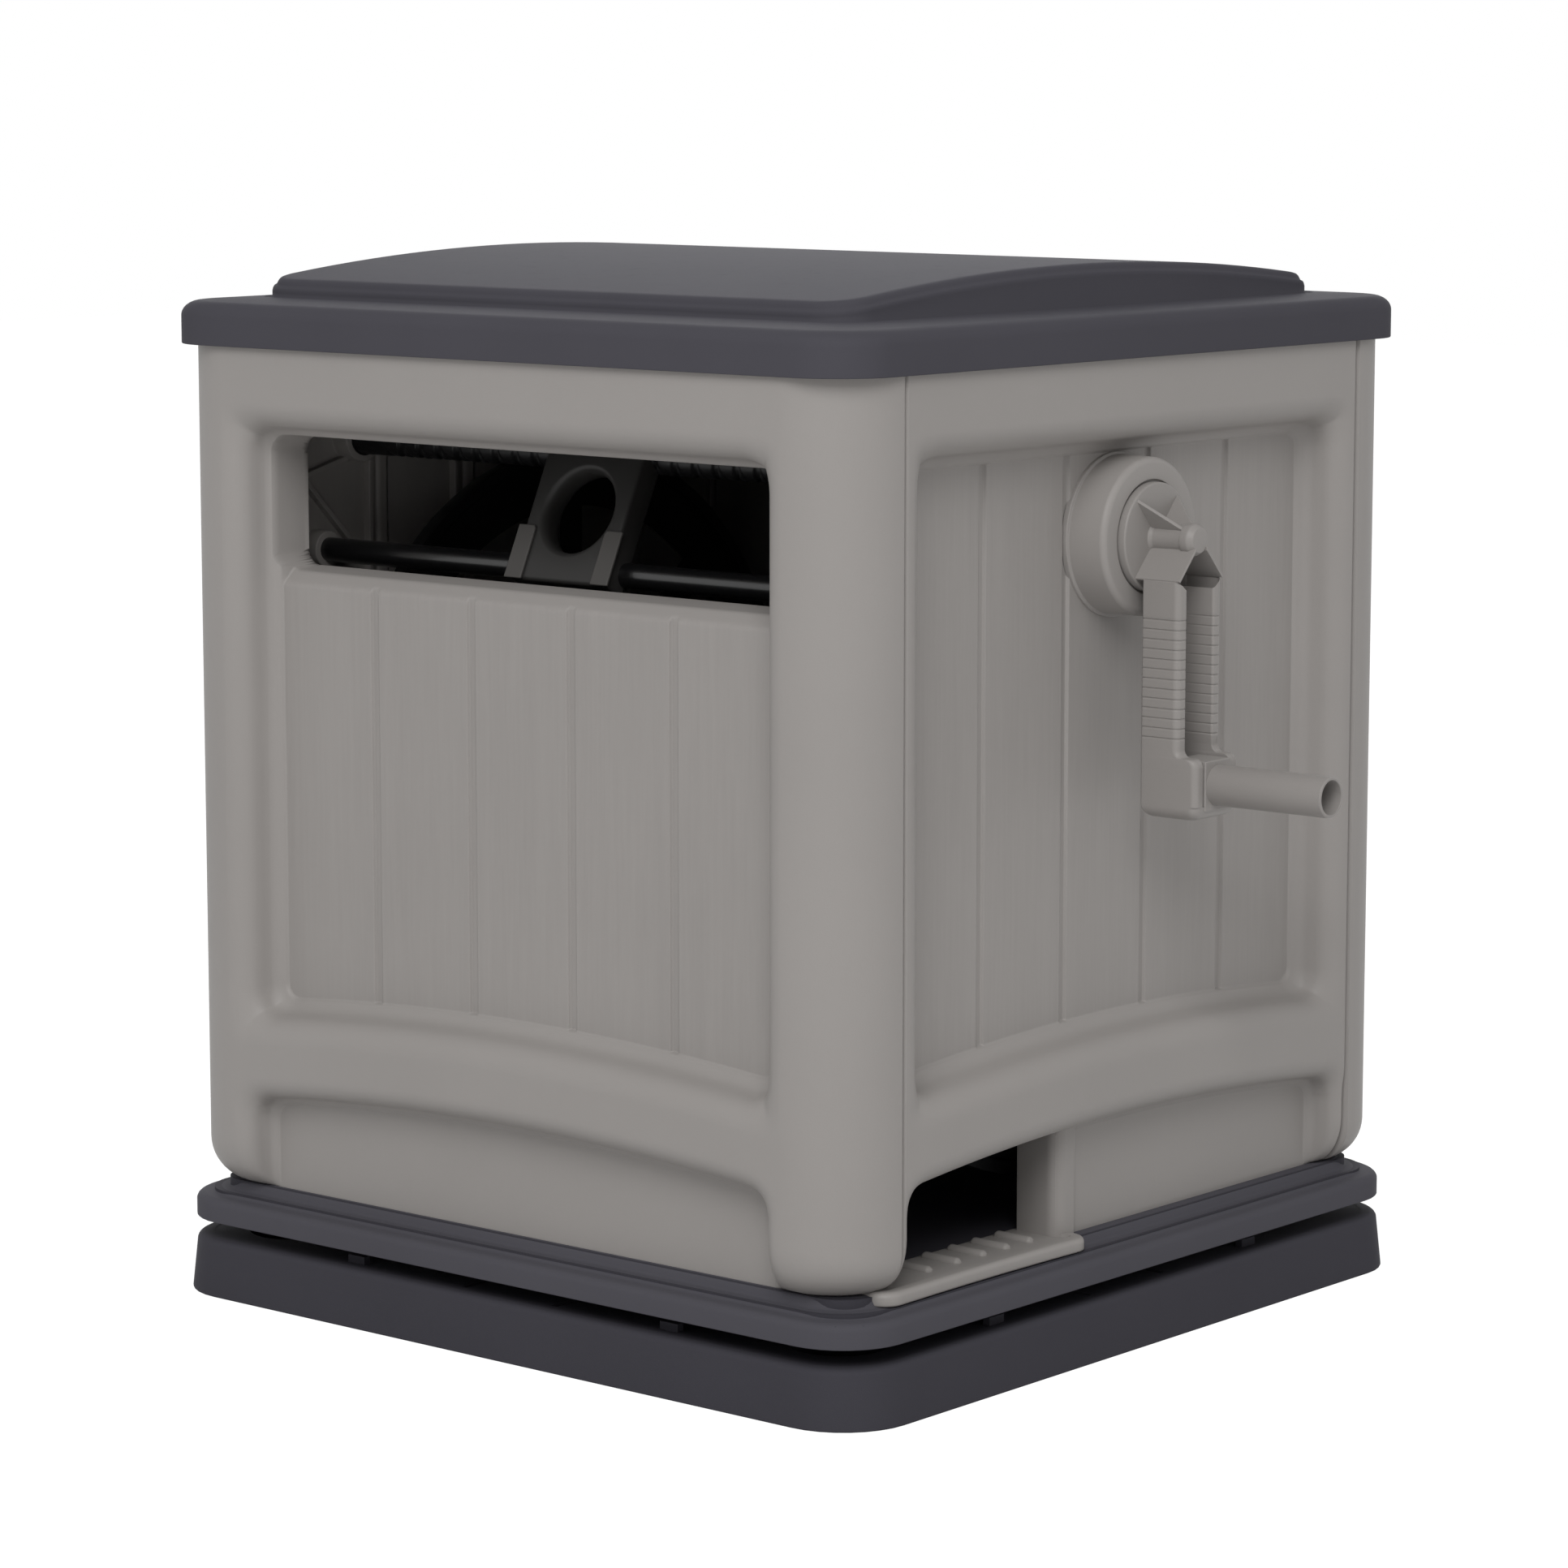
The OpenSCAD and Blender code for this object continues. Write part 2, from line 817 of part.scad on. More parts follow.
module panel_screw_places() {
    for (x = [-1, 1], y = [-1, 1])
        translate([x * panel_screw_x, y * (case_d / 2 - panel_screw_in), 0])
            children();
    for (x = [-1, 1], y = [0, 1])
        translate([x * (case_w / 2 - panel_screw_in + wall), y * panel_screw_x, 0])
            children();
}

module panel_screw_holes() {
    panel_screw_places()
        translate([0, 0, case_z - overrun])
            cylinder(r = screw_shank_r + screw_slack, h = wall + 2 * overrun);
}

module panel_screws() {
    color(steel)
    panel_screw_places()
        translate([0, 0, case_z + wall - panel_screw_l])
            machine_screw(panel_screw_l);
}

module left_panel() {
    color(taupe)
    difference() {
        union() {
            rotate(-90)
                side_panel_blank();
            rod_x(rod_r + boss_t, -wall_in - overrun, -wall_in + rod_seat, rod);
            rod_x(journal_r + bush_t + boss_t, -wall_in - overrun, -bush_x, screw);
            rod_x(elbow_flange_r, -wall_in - overrun, inlet_x, reel);
        }
        rod_x(rod_r + seat_fit, -wall_in, -wall_in + rod_seat + overrun, rod);
        rod_x(journal_r + bush_t + seat_fit, -wall_in, -bush_x + overrun, screw);
        inlet_screw_places()
            rod_x(screw_shank_r + screw_slack, -wall_in, inlet_x + overrun, [0, 0]);
        panel_screw_holes();
    }
}

module right_panel() {
    apron_x = case_w / 2 - apron_depth;
    color(taupe)
    difference() {
        union() {
            difference() {
                rotate(90)
                    side_panel_blank();
                translate([apron_x - return_depth, -outlet_side - outlet_w, case_z - overrun])
                    cube([case_w, outlet_w, apron_h + overrun - apron_top_keep]);
            }
            translate([apron_x - return_depth, -outlet_side, case_z])
                cube([return_depth, wall, apron_h]);
            rod_x(boss_r, wall_in, boss_x, crank);
            rod_x(shaft_r + bush_t + boss_t, bush_x, wall_in + overrun, crank);
            rod_x(reel_journal_r + bush_t + boss_t, reel_bush_x, wall_in + overrun, reel);
            rod_x(idler_axle_r + boss_t, wind_x + wind_face + rest_gap, wall_in + overrun, idler);
            rod_x(rod_r + boss_t, wall_in - rod_seat, wall_in + overrun, rod);
            rod_x(journal_r + bush_t + boss_t, bush_x, wall_in + overrun, screw);
        }
        difference() {
            rod_x(boss_r - wall, wall_in - overrun, boss_x - wall, crank);
            rod_x(shaft_r + bush_t + boss_t, wall_in - 2 * overrun, boss_x, crank);
        }
        rod_x(shaft_r + bush_t + seat_fit, bush_x - overrun, boss_x + overrun, crank);
        rod_x(reel_journal_r + bush_t + seat_fit, reel_bush_x - overrun, wall_in, reel);
        rod_x(idler_axle_r + seat_fit, wind_x, wall_in, idler);
        rod_x(rod_r + seat_fit, wall_in - rod_seat - overrun, wall_in, rod);
        rod_x(journal_r + bush_t + seat_fit, bush_x - overrun, wall_in, screw);
        panel_screw_holes();
    }
}

module foot_tread() {
    outer = case_w / 2 + tread_over;
    inner = outer - tread_depth;
    y1 = -outlet_side;
    y0 = y1 - outlet_w + tread_leg_gap;
    rib_y = (y0 + y1) / 2;
    color(taupe) {
        translate([inner, y0, case_z])
            cube([tread_depth, y1 - y0, tread_t]);
        translate([outer - tread_lip, y0 - tread_side, case_z])
            cube([tread_lip, y1 - y0 + tread_side, tread_t + tread_lip_h]);
        for (i = [0 : tread_rib_count - 1])
            translate([outer - tread_lip - tread_rib_l,
                rib_y + (i - (tread_rib_count - 1) / 2) * tread_rib_pitch - tread_rib_w / 2, case_z])
                cube([tread_rib_l, tread_rib_w, tread_t + tread_rib_h]);
    }
}

// Bearings and rods in the case
reel_bush_x = drive_x + drive_face + gear_space;

module guide_rod() {
    color(black)
    rod_x(rod_r, -wall_in + seat_fit, wall_in - seat_fit, rod);
}

module crank_bush() {
    color(black)
    tube_x(shaft_r + bush_t, shaft_r + run_fit, bush_x, boss_x, crank);
}

module reel_bush() {
    color(black)
    tube_x(reel_journal_r + bush_t, reel_journal_r + run_fit, reel_bush_x, wall_in - seat_fit, reel);
}

module screw_bushes() {
    color(black) {
        tube_x(journal_r + bush_t, journal_r + run_fit, bush_x, wall_in - seat_fit, screw);
        tube_x(journal_r + bush_t, journal_r + run_fit, -wall_in + seat_fit, -bush_x, screw);
    }
}

module idler_axle() {
    color(steel)
    rod_x(idler_axle_r, wind_x - gear_space, wall_in - seat_fit, idler);
}

module idler_clip() {
    color(steel)
    tube_x(idler_axle_r + clip_w, idler_axle_r + seat_fit, wind_x - rest_gap - clip_t, wind_x - rest_gap,
        idler);
}

// Water inlet, which is also the reel's left bearing
elbow_x = -(wall_in + flange_x + hub_out) / 2;
tube_end = -flange_x + hub_l;
inlet_x = -wall_in + inlet_boss_t;

module inlet_elbow() {
    color(black)
    difference() {
        union() {
            rod_x(elbow_flange_r, inlet_x, inlet_x + elbow_flange_t, reel);
            rod_x(tube_r, inlet_x, tube_end, reel);
            translate([elbow_x, reel_y, reel_z - stub_l])
                cylinder(r = stub_r, h = stub_l);
        }
        rod_x(tube_bore_r, inlet_x + elbow_flange_t, tube_end + overrun, reel);
        translate([elbow_x, reel_y, reel_z - stub_l - overrun])
            cylinder(r = stub_bore_r, h = stub_l + overrun);
        for (i = [0, 1])
            let (x = tube_end - seal_in + i * seal_pitch)
            tube_x(tube_r + overrun, tube_r - 2 * seal_r - run_fit, x - seal_r, x + seal_r, reel);
        inlet_screw_places()
            rod_x(screw_shank_r + screw_slack, inlet_x - overrun, inlet_x + elbow_flange_t + overrun, [0, 0]);
    }
}

module inlet_seals() {
    color(rubber)
    for (i = [0, 1])
        translate([tube_end - seal_in + i * seal_pitch, reel_y, reel_z])
            rotate([0, 90, 0])
                rotate_extrude()
                    translate([tube_r - seal_r, 0])
                        circle(seal_r - seat_fit);
}

module inlet_screw_places() {
    for (i = [0 : elbow_screw_count - 1])
        let (a = 360 / elbow_screw_count * (i + 0.5))
        translate([0, reel_y + elbow_screw_r * cos(a), reel_z + elbow_screw_r * sin(a)])
            children();
}

module inlet_screws() {
    color(steel)
    inlet_screw_places()
        translate([-wall_in, 0, 0])
            rotate([0, 90, 0])
                machine_screw(inlet_boss_t + elbow_flange_t);
}

// Lid and its hinge
module lid() {
    inner_w = lid_w - 2 * skirt_t;
    inner_d = lid_d - 2 * skirt_t;
    inner_r = lid_r - skirt_t;
    ceiling_z = ledge_z - lid_t;
    color(slate)
    difference() {
        union() {
            soft_top(lid_w, lid_d, lid_r, lid_z, ledge_z, lid_edge, 0);
            crown(0, ledge_z - lid_t / 2);
            hinge_places() {
                translate([-hinge_ear_l / 2, -hinge_back - skirt_t / 2, hinge_drop])
                    cube([hinge_ear_l, hinge_back + skirt_t / 2, hinge_tab - hinge_drop]);
                translate([-hinge_ear_l / 2, 0, 0])
                    rotate([0, 90, 0])
                        cylinder(r = hinge_r, h = hinge_ear_l);
            }
        }
        slab(inner_w, inner_d, inner_r, lid_z - overrun, case_top + rest_gap);
        slab(inner_w - 2 * lid_rest_w, inner_d - 2 * lid_rest_w, inner_r - lid_rest_w, case_top, ceiling_z);
        crown(lid_t, ceiling_z - overrun);
        hinge_places()
            translate([-hinge_ear_l, 0, 0])
                rotate([0, 90, 0])
                    cylinder(r = hinge_pin_r + run_fit, h = 2 * hinge_ear_l);
    }
}

// The crown's vaulted block, less a skin
module crown(skin, z0) {
    intersection() {
        slab(crown_w - 2 * skin, crown_d - 2 * skin, crown_r - skin, z0, crown_z + crown_rise + overrun);
        translate([-crown_w, 0, crown_z + crown_rise - crown_arc_r])
            rotate([0, 90, 0])
                cylinder(r = crown_arc_r - skin, h = 2 * crown_w, $fn = 360);
    }
}

module hinge_places() {
    for (x = [-1, 1])
        translate([x * hinge_pitch / 2, hinge_y, hinge_z])
            children();
}

hinge_half = hinge_ear_l / 2 + hinge_ear_gap + hinge_knuckle_l;

module hinge_leaves() {
    leaf_y = case_d / 2 - hinge_y;
    color(slate)
    difference() {
        hinge_places() {
            translate([-hinge_half, leaf_y, -hinge_leaf_h])
                cube([2 * hinge_half, hinge_leaf_t, hinge_leaf_h + hinge_drop - hinge_leaf_gap]);
            for (side = [-1, 1])
                translate([side * (hinge_half - hinge_knuckle_l / 2) - hinge_knuckle_l / 2, 0, 0]) {
                    translate([0, leaf_y, -hinge_r])
                        cube([hinge_knuckle_l, -leaf_y, hinge_r]);
                    rotate([0, 90, 0])
                        cylinder(r = hinge_r, h = hinge_knuckle_l);
                }
        }
        hinge_places()
            translate([-2 * hinge_half, 0, 0])
                rotate([0, 90, 0])
                    cylinder(r = hinge_pin_r + run_fit, h = 4 * hinge_half);
        hinge_screw_places()
            rotate([-90, 0, 0])
                translate([0, 0, -overrun])
                    cylinder(r = screw_shank_r + screw_slack, h = hinge_leaf_t + 2 * overrun);
    }
}

module hinge_pins() {
    color(steel)
    hinge_places()
        translate([-hinge_half, 0, 0])
            rotate([0, 90, 0])
                cylinder(r = hinge_pin_r, h = 2 * hinge_half);
}

hinge_screw_z = 28;
hinge_screw_x = 25;

module hinge_screw_places() {
    for (x = [-1, 1], side = [-1, 1])
        translate([x * hinge_pitch / 2 + side * hinge_screw_x, case_d / 2, hinge_z - hinge_screw_z])
            children();
}

module hinge_screws() {
    color(steel)
    hinge_screw_places()
        translate([0, -wall, 0])
            rotate([-90, 0, 0])
                machine_screw(wall + hinge_leaf_t);
}

// Reel
module reel_drum() {
    color(black)
    difference() {
        tube_x(drum_r, drum_r - drum_wall, -hose_room_w / 2, hose_room_w / 2, reel);
        outlet_place()
            cylinder(r = outlet_tube_r + seat_fit, h = 2 * drum_r);
    }
}

module flange_outline() {
    difference() {
        circle(flange_r);
        circle(flange_r - rim_w);
    }
    circle(hub_disc_r);
    for (i = [0 : spoke_count - 1])
        rotate(360 / spoke_count * i)
            translate([hub_disc_r / 2, -spoke_w / 2])
                square([flange_r - rim_w / 2 - hub_disc_r / 2, spoke_w]);
}

rim_lip_w = 8;
rim_lip_t = 10;

module flange_plate(x0) {
    across_x(x0, x0 + flange_t, reel)
        flange_outline();
    tube_x(flange_r, flange_r - rim_lip_w, x0 + (flange_t - rim_lip_t) / 2, x0 + (flange_t + rim_lip_t) / 2,
        reel);
}

module bolt_places() {
    for (i = [0 : bolt_count - 1])
        let (a = 360 / bolt_count * (i + 0.5))
        translate([0, reel_y + bolt_ring_r * cos(a), reel_z + bolt_ring_r * sin(a)])
            children();
}

module bolt_holes() {
    bolt_places()
        rod_x(bolt_r + screw_slack, -case_w / 2, case_w / 2, [0, 0]);
}

module left_flange() {
    color(black)
    difference() {
        union() {
            flange_plate(-flange_x);
            rod_x(tube_r + hub_wall_t, -flange_x - hub_out, tube_end, reel);
        }
        rod_x(tube_r + run_fit, -flange_x - hub_out - overrun, tube_end + overrun, reel);
        bolt_holes();
    }
}

module right_flange() {
    color(black)
    difference() {
        union() {
            flange_plate(flange_x - flange_t);
            rod_x(reel_journal_r, flange_x - overrun, wall_in - hub_gap, reel);
        }
        bolt_holes();
    }
}

ring_gear_wall = 22;

module ring_gear() {
    color(black)
    spur_gear(ring_teeth, drive_module, drive_module * ring_teeth / 2 - ring_gear_wall, flange_x,
        drive_x + drive_face, reel, 0);
}

// Where the hose joins the drum: its axis points out of the drum's lower front
outlet_x = tube_end + chamber_l / 2;
outlet_turn = 150;

module outlet_place() {
    translate([outlet_x, reel_y, reel_z])
        rotate([outlet_turn, 0, 0])
            children();
}

module water_elbow() {
    chamber_r = tube_r + hub_wall_t;
    color(black)
    difference() {
        union() {
            rod_x(chamber_r, tube_end, tube_end + chamber_l, reel);
            outlet_place()
                cylinder(r = outlet_tube_r, h = drum_r);
        }
        rod_x(chamber_r - chamber_wall, tube_end - overrun, tube_end + chamber_l - chamber_wall, reel);
        outlet_place()
            cylinder(r = stub_bore_r, h = drum_r + overrun);
    }
}

module outlet_fitting() {
    color(brass)
    outlet_place()
        difference() {
            union() {
                translate([0, 0, drum_r])
                    cylinder(r = stub_r, h = outlet_stub_h);
                translate([0, 0, drum_r])
                    cylinder(r = outlet_collar_r, h = outlet_collar_h);
            }
            translate([0, 0, drum_r - overrun])
                cylinder(r = stub_bore_r, h = outlet_stub_h + 2 * overrun);
        }
}

module reel_bolts() {
    color(steel)
    bolt_places() {
        rod_x(bolt_r, -flange_x, flange_x, [0, 0]);
        rod_x(bolt_head_r, -flange_x - bolt_head_h, -flange_x, [0, 0]);
        rod_x(bolt_head_r, flange_x, flange_x + bolt_head_h, [0, 0]);
    }
}

// Crank
module at_crank() {
    translate([0, crank[0], crank[1]])
        children();
}

module crank_fin(turn) {
    disc_end = disc_x + disc_t - overrun;
    rotate([turn, 0, 0])
        translate([0, fin_t / 2, 0])
            rotate([90, 0, 0])
                linear_extrude(fin_t)
                    polygon([[disc_end, 0], [disc_end, disc_r - overrun], [arm_x + arm_depth - nose_l, 0]]);
}

module roof_half(side) {
    translate([arm_x - arm_gap - overrun, 0, 0])
        rotate([90, 0, 90])
            linear_extrude(arm_depth + arm_gap + overrun)
                polygon([[0, roof_z], [side * roof_y, roof_z], [side * roof_eave_y, roof_eave_z],
                    [side * arm_w / 2, roof_eave_z - roof_t],
                    [side * (arm_w / 2 - arm_wall), roof_eave_z - roof_t],
                    [side * (roof_y - roof_t / 2), roof_z - roof_t], [0, roof_z - roof_t]]);
}

module crank_arm() {
    boot_z = -crank_throw - boot_down;
    channel_l = arm_w - 2 * arm_wall;
    color(taupe)
    at_crank()
    difference() {
        union() {
            rod_x(disc_r, disc_x, disc_x + disc_t, [0, 0]);
            rod_x(spindle_r, disc_x, arm_x + arm_depth - nose_l, [0, 0]);
            rod_x(nose_r, disc_x, arm_x + arm_depth, [0, 0]);
            for (turn = [-fin_angle, fin_angle])
                crank_fin(turn);
            roof_half(-1);
            roof_half(1);
            translate([disc_x, -link_w / 2, roof_eave_z - roof_t])
                cube([disc_t + arm_gap + arm_back, link_w, roof_z - roof_eave_z]);
            difference() {
                translate([arm_x, -arm_w / 2, boot_z])
                    cube([arm_depth, arm_w, -boot_z + roof_eave_z - roof_t / 2]);
                translate([arm_x + arm_back, -channel_l / 2, boot_z - overrun])
                    cube([arm_depth, channel_l, -boot_z + overrun]);
            }
            translate([arm_x, -boot_w / 2, boot_z])
                cube([arm_depth + boot_over, boot_w, boot_up + boot_down]);
            for (side = [-1, 1], i = [0 : grip_count - 1])
                translate([arm_x, side * arm_w / 2 - grip_h, grip_top - i * grip_pitch])
                    cube([arm_depth, 2 * grip_h, grip_w]);
        }
        translate([arm_x + arm_back, -boot_w / 2 + boot_wall, boot_z + boot_floor])
            cube([arm_depth + boot_over, boot_w - 2 * boot_wall, boot_up + boot_down]);
        translate([disc_x - overrun, -square_w / 2 - seat_fit, -square_w / 2 - seat_fit])
            cube([square_l + overrun, square_w + 2 * seat_fit, square_w + 2 * seat_fit]);
        handle_axis(handle_pin_r + seat_fit, boot_w + 2 * overrun);
    }
}

// A cylinder on the handle's pivot, in the crank's own place
module handle_axis(r, l) {
    translate([pivot_x, l / 2, -crank_throw])
        rotate([90, 0, 0])
            cylinder(r = r, h = l);
}

module crank_shaft() {
    color(steel)
    at_crank() {
        rod_x(shaft_r, flange_x + hub_gap, disc_x, [0, 0]);
        translate([disc_x - overrun, -square_w / 2, -square_w / 2])
            cube([square_l + overrun - seat_fit, square_w, square_w]);
    }
}

module drive_pinion() {
    color(black)
    spur_gear(pinion_teeth, drive_module, shaft_r + seat_fit, drive_x, drive_x + drive_face, crank,
        pinion_phase);
}

module wind_pinion() {
    color(black)
    spur_gear(wind_pinion_teeth, wind_module, shaft_r + seat_fit, wind_x, wind_x + wind_face, crank, 0);
}

module shaft_clip() {
    color(steel)
    tube_x(shaft_r + clip_w, shaft_r + seat_fit, drive_x - seat_fit - clip_t, drive_x - seat_fit, crank);
}

module handle_pin() {
    color(steel)
    at_crank()
        handle_axis(handle_pin_r, boot_w);
}

module crank_handle() {
    color(taupe)
    at_crank()
    difference() {
        union() {
            handle_axis(handle_r, boot_w - 2 * boot_wall - 2 * handle_slack);
            rod_x(handle_r, pivot_x, pivot_x + handle_l, [0, -crank_throw]);
        }
        rod_x(handle_bore_r, pivot_x + handle_l - handle_bore_l, pivot_x + handle_l + overrun,
            [0, -crank_throw]);
        handle_axis(handle_pin_r + run_fit, boot_w);
    }
}

// Level wind
module idler_gear() {
    color(black)
    spur_gear(idler_teeth, wind_module, idler_axle_r + run_fit, wind_x, wind_x + wind_face, idler,
        idler_phase);
}

module level_screw() {
    color(black) {
        rod_x(screw_r, -bush_x + screw_end_gap, bush_x - screw_end_gap, screw);
        rod_x(journal_r, -wall_in + hub_gap, wall_in - hub_gap, screw);
    }
}

module screw_gear() {
    color(black)
    spur_gear(screw_teeth, wind_module, screw_r + seat_fit, wind_x, wind_x + wind_face, screw, screw_phase);
}

// The guide's own frame: X along the rod, Z from the rod to the screw
module at_guide() {
    translate([guide_x, rod[0], rod[1]])
        rotate([-lean, 0, 0])
            children();
}

module hose_guide() {
    color(black)
    at_guide()
    difference() {
        union() {
            translate([-guide_w / 2, -guide_front, -guide_under])
                cube([guide_w, guide_front + guide_rear, guide_under + guide_brow]);
            translate([-tower_w / 2, -guide_rear, 0])
                cube([tower_w, 2 * guide_rear, lean_l]);
            rod_x(screw_r + screw_play + sleeve_wall, -tower_w / 2, tower_w / 2, [0, lean_l]);
            eye_place(-eye_front)
                cylinder(r = eye_mouth_r + eye_wall, h = eye_front + guide_rear);
        }
        rod_x(rod_r + run_fit, -guide_w, guide_w, [0, 0]);
        rod_x(screw_r + screw_play, -guide_w, guide_w, [0, lean_l]);
        eye_place(-eye_front - overrun)
            cylinder(r = eye_r, h = eye_front + guide_rear + 2 * overrun);
        eye_place(-eye_front)
            cylinder(r1 = eye_mouth_r, r2 = eye_r, h = funnel_l);
        follower_place()
            cylinder(r = follower_r + seat_fit, h = follower_l + follower_cap_t);
    }
}

module eye_place(y) {
    translate([0, y, lean_l / 2])
        rotate([-90, 0, 0])
            children();
}

// The follower's axis points back from the screw
module follower_place() {
    translate([0, screw_r + rest_gap, lean_l])
        rotate([-90, 0, 0])
            children();
}

module guide_clips() {
    color(slate)
    at_guide()
    difference() {
        for (side = [-1, 1])
            translate([side * (guide_w - clip_strip_w) / 2 - clip_strip_w / 2, -guide_front - clip_strip_t,
                -guide_under])
                cube([clip_strip_w, clip_strip_t, guide_under + guide_brow]);
        eye_place(-eye_front)
            cylinder(r = eye_mouth_r + eye_wall + seat_fit, h = eye_front);
    }
}

module guide_follower() {
    color(brass)
    at_guide()
        follower_place() {
            cylinder(r = follower_r, h = follower_l);
            translate([0, 0, sleeve_wall + screw_play - rest_gap])
                cylinder(r = follower_cap_r, h = follower_cap_t);
        }
}

base_plate();
swivel_glide();
swivel_cap();
cap_screws();
turntable();
front_panel();
back_panel();
left_panel();
right_panel();
foot_tread();
panel_screws();
guide_rod();
crank_bush();
reel_bush();
screw_bushes();
idler_axle();
idler_clip();
inlet_elbow();
inlet_seals();
inlet_screws();
hinge_leaves();
hinge_pins();
hinge_screws();
lid();
reel_drum();
left_flange();
right_flange();
ring_gear();
water_elbow();
outlet_fitting();
reel_bolts();
crank_arm();
crank_shaft();
drive_pinion();
wind_pinion();
shaft_clip();
handle_pin();
crank_handle();
idler_gear();
level_screw();
screw_gear();
hose_guide();
guide_clips();
guide_follower();
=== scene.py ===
import bmesh
import bpy
import json
import math
import numpy as np
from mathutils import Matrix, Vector


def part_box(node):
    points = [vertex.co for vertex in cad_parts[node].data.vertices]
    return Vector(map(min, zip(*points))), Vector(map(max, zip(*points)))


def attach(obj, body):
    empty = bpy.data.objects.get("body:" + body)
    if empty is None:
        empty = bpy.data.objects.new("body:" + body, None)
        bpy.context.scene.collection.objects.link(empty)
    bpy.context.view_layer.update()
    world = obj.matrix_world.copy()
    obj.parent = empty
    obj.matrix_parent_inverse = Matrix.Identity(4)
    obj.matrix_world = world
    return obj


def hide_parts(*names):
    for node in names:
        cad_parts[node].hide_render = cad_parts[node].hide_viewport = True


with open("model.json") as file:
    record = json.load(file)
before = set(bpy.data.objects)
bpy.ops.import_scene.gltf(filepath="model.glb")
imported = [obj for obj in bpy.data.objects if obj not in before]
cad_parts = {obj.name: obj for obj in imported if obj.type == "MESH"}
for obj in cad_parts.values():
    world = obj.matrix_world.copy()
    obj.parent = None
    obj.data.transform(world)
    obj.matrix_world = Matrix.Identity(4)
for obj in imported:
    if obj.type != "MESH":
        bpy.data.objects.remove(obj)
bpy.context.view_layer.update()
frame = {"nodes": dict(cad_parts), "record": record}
nodes = frame["nodes"]
bothSides = ((-1, "Left"), (1, "Right"))
print("frame loaded:", len(nodes), "nodes")


# Mesh helpers

def quadGrid(rows, cols, wrap=False):
    # cell corners of a rows x cols grid of points; wrap joins the last column to the first
    index = np.arange(rows * cols).reshape(rows, cols)
    if wrap:
        index = np.hstack([index, index[:, :1]])
    return np.stack([index[:-1, :-1], index[:-1, 1:], index[1:, 1:], index[1:, :-1]], -1)


def meshObject(name, points, faces, body, material, stands=(), marks=None):
    # faces: arrays of n-cornered faces; points that no face uses are left out
    points = np.asarray(points, float).reshape(-1, 3)
    faces = [np.asarray(f, int).reshape(-1, np.shape(f)[-1]) for f in faces]
    used, place = np.unique(np.concatenate([f.ravel() for f in faces]), return_inverse=True)
    starts = np.concatenate([[0], np.cumsum(np.concatenate([np.full(len(f), f.shape[1]) for f in faces]))])[:-1]
    mesh = bpy.data.meshes.new(name)
    mesh.vertices.add(len(used))
    mesh.vertices.foreach_set("co", points[used].ravel())
    mesh.loops.add(len(place))
    mesh.loops.foreach_set("vertex_index", place.astype(np.int32).ravel())
    mesh.polygons.add(len(starts))
    mesh.polygons.foreach_set("loop_start", starts.astype(np.int32))
    mesh.update(calc_edges=True)
    mesh.validate()
    mesh.polygons.foreach_set("use_smooth", np.ones(len(mesh.polygons), bool))
    for mark, values in (marks or {}).items():
        mesh.attributes.new(mark, "FLOAT", "POINT").data.foreach_set("value", np.ravel(values)[used])
    mesh.materials.append(material)
    piece = bpy.data.objects.new(name, mesh)
    bpy.context.scene.collection.objects.link(piece)
    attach(piece, body)
    if stands:
        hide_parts(*stands)
    return piece


def spaced(stretches, end):
    # grid lines: each (start, spacing) stretch is divided evenly up to the next start
    stops = [start for start, _ in stretches[1:]] + [end]
    lines = [np.linspace(start, stop, max(1, round((stop - start) / step)), endpoint=False)
             for (start, step), stop in zip(stretches, stops)]
    return np.concatenate(lines + [[end]])


def smooth(low, high, x):
    t = np.clip((x - low) / (high - low), 0, 1)
    return t * t * (3 - 2 * t)


def rounded(corners, radii, steps=5):
    # a polyline whose inner corners become arcs of the given radii
    corners = np.asarray(corners, float)
    path = [corners[:1]]
    turn = np.linspace(0, 1, steps)[:, None]
    for before, corner, after, radius in zip(corners[:-2], corners[1:-1], corners[2:], radii):
        a, b = before - corner, after - corner
        la, lb = np.linalg.norm(a), np.linalg.norm(b)
        half = math.acos(np.clip(a @ b / la / lb, -1, 1)) / 2
        reach = min(radius / max(math.tan(half), 1e-6), .49 * la, .49 * lb)
        if reach < 1e-7 or half > 1.55:
            path.append(corner[None])
            continue
        p, q = corner + a / la * reach, corner + b / lb * reach
        middle = corner + (a / la + b / lb) / np.linalg.norm(a / la + b / lb) * reach / math.cos(half)
        size = reach * math.tan(half)
        arc = (p - middle) * (1 - turn) + (q - middle) * turn
        path.append(middle + arc / np.linalg.norm(arc, axis=1, keepdims=True) * size)
    return np.concatenate(path + [corners[-1:]])


def loopRounded(corners, radii, steps=5):
    # the same for a closed outline
    corners = np.asarray(corners, float)
    ring = np.concatenate([corners[-1:], corners, corners[:1]])
    return rounded(ring, radii, steps)[1:-1]


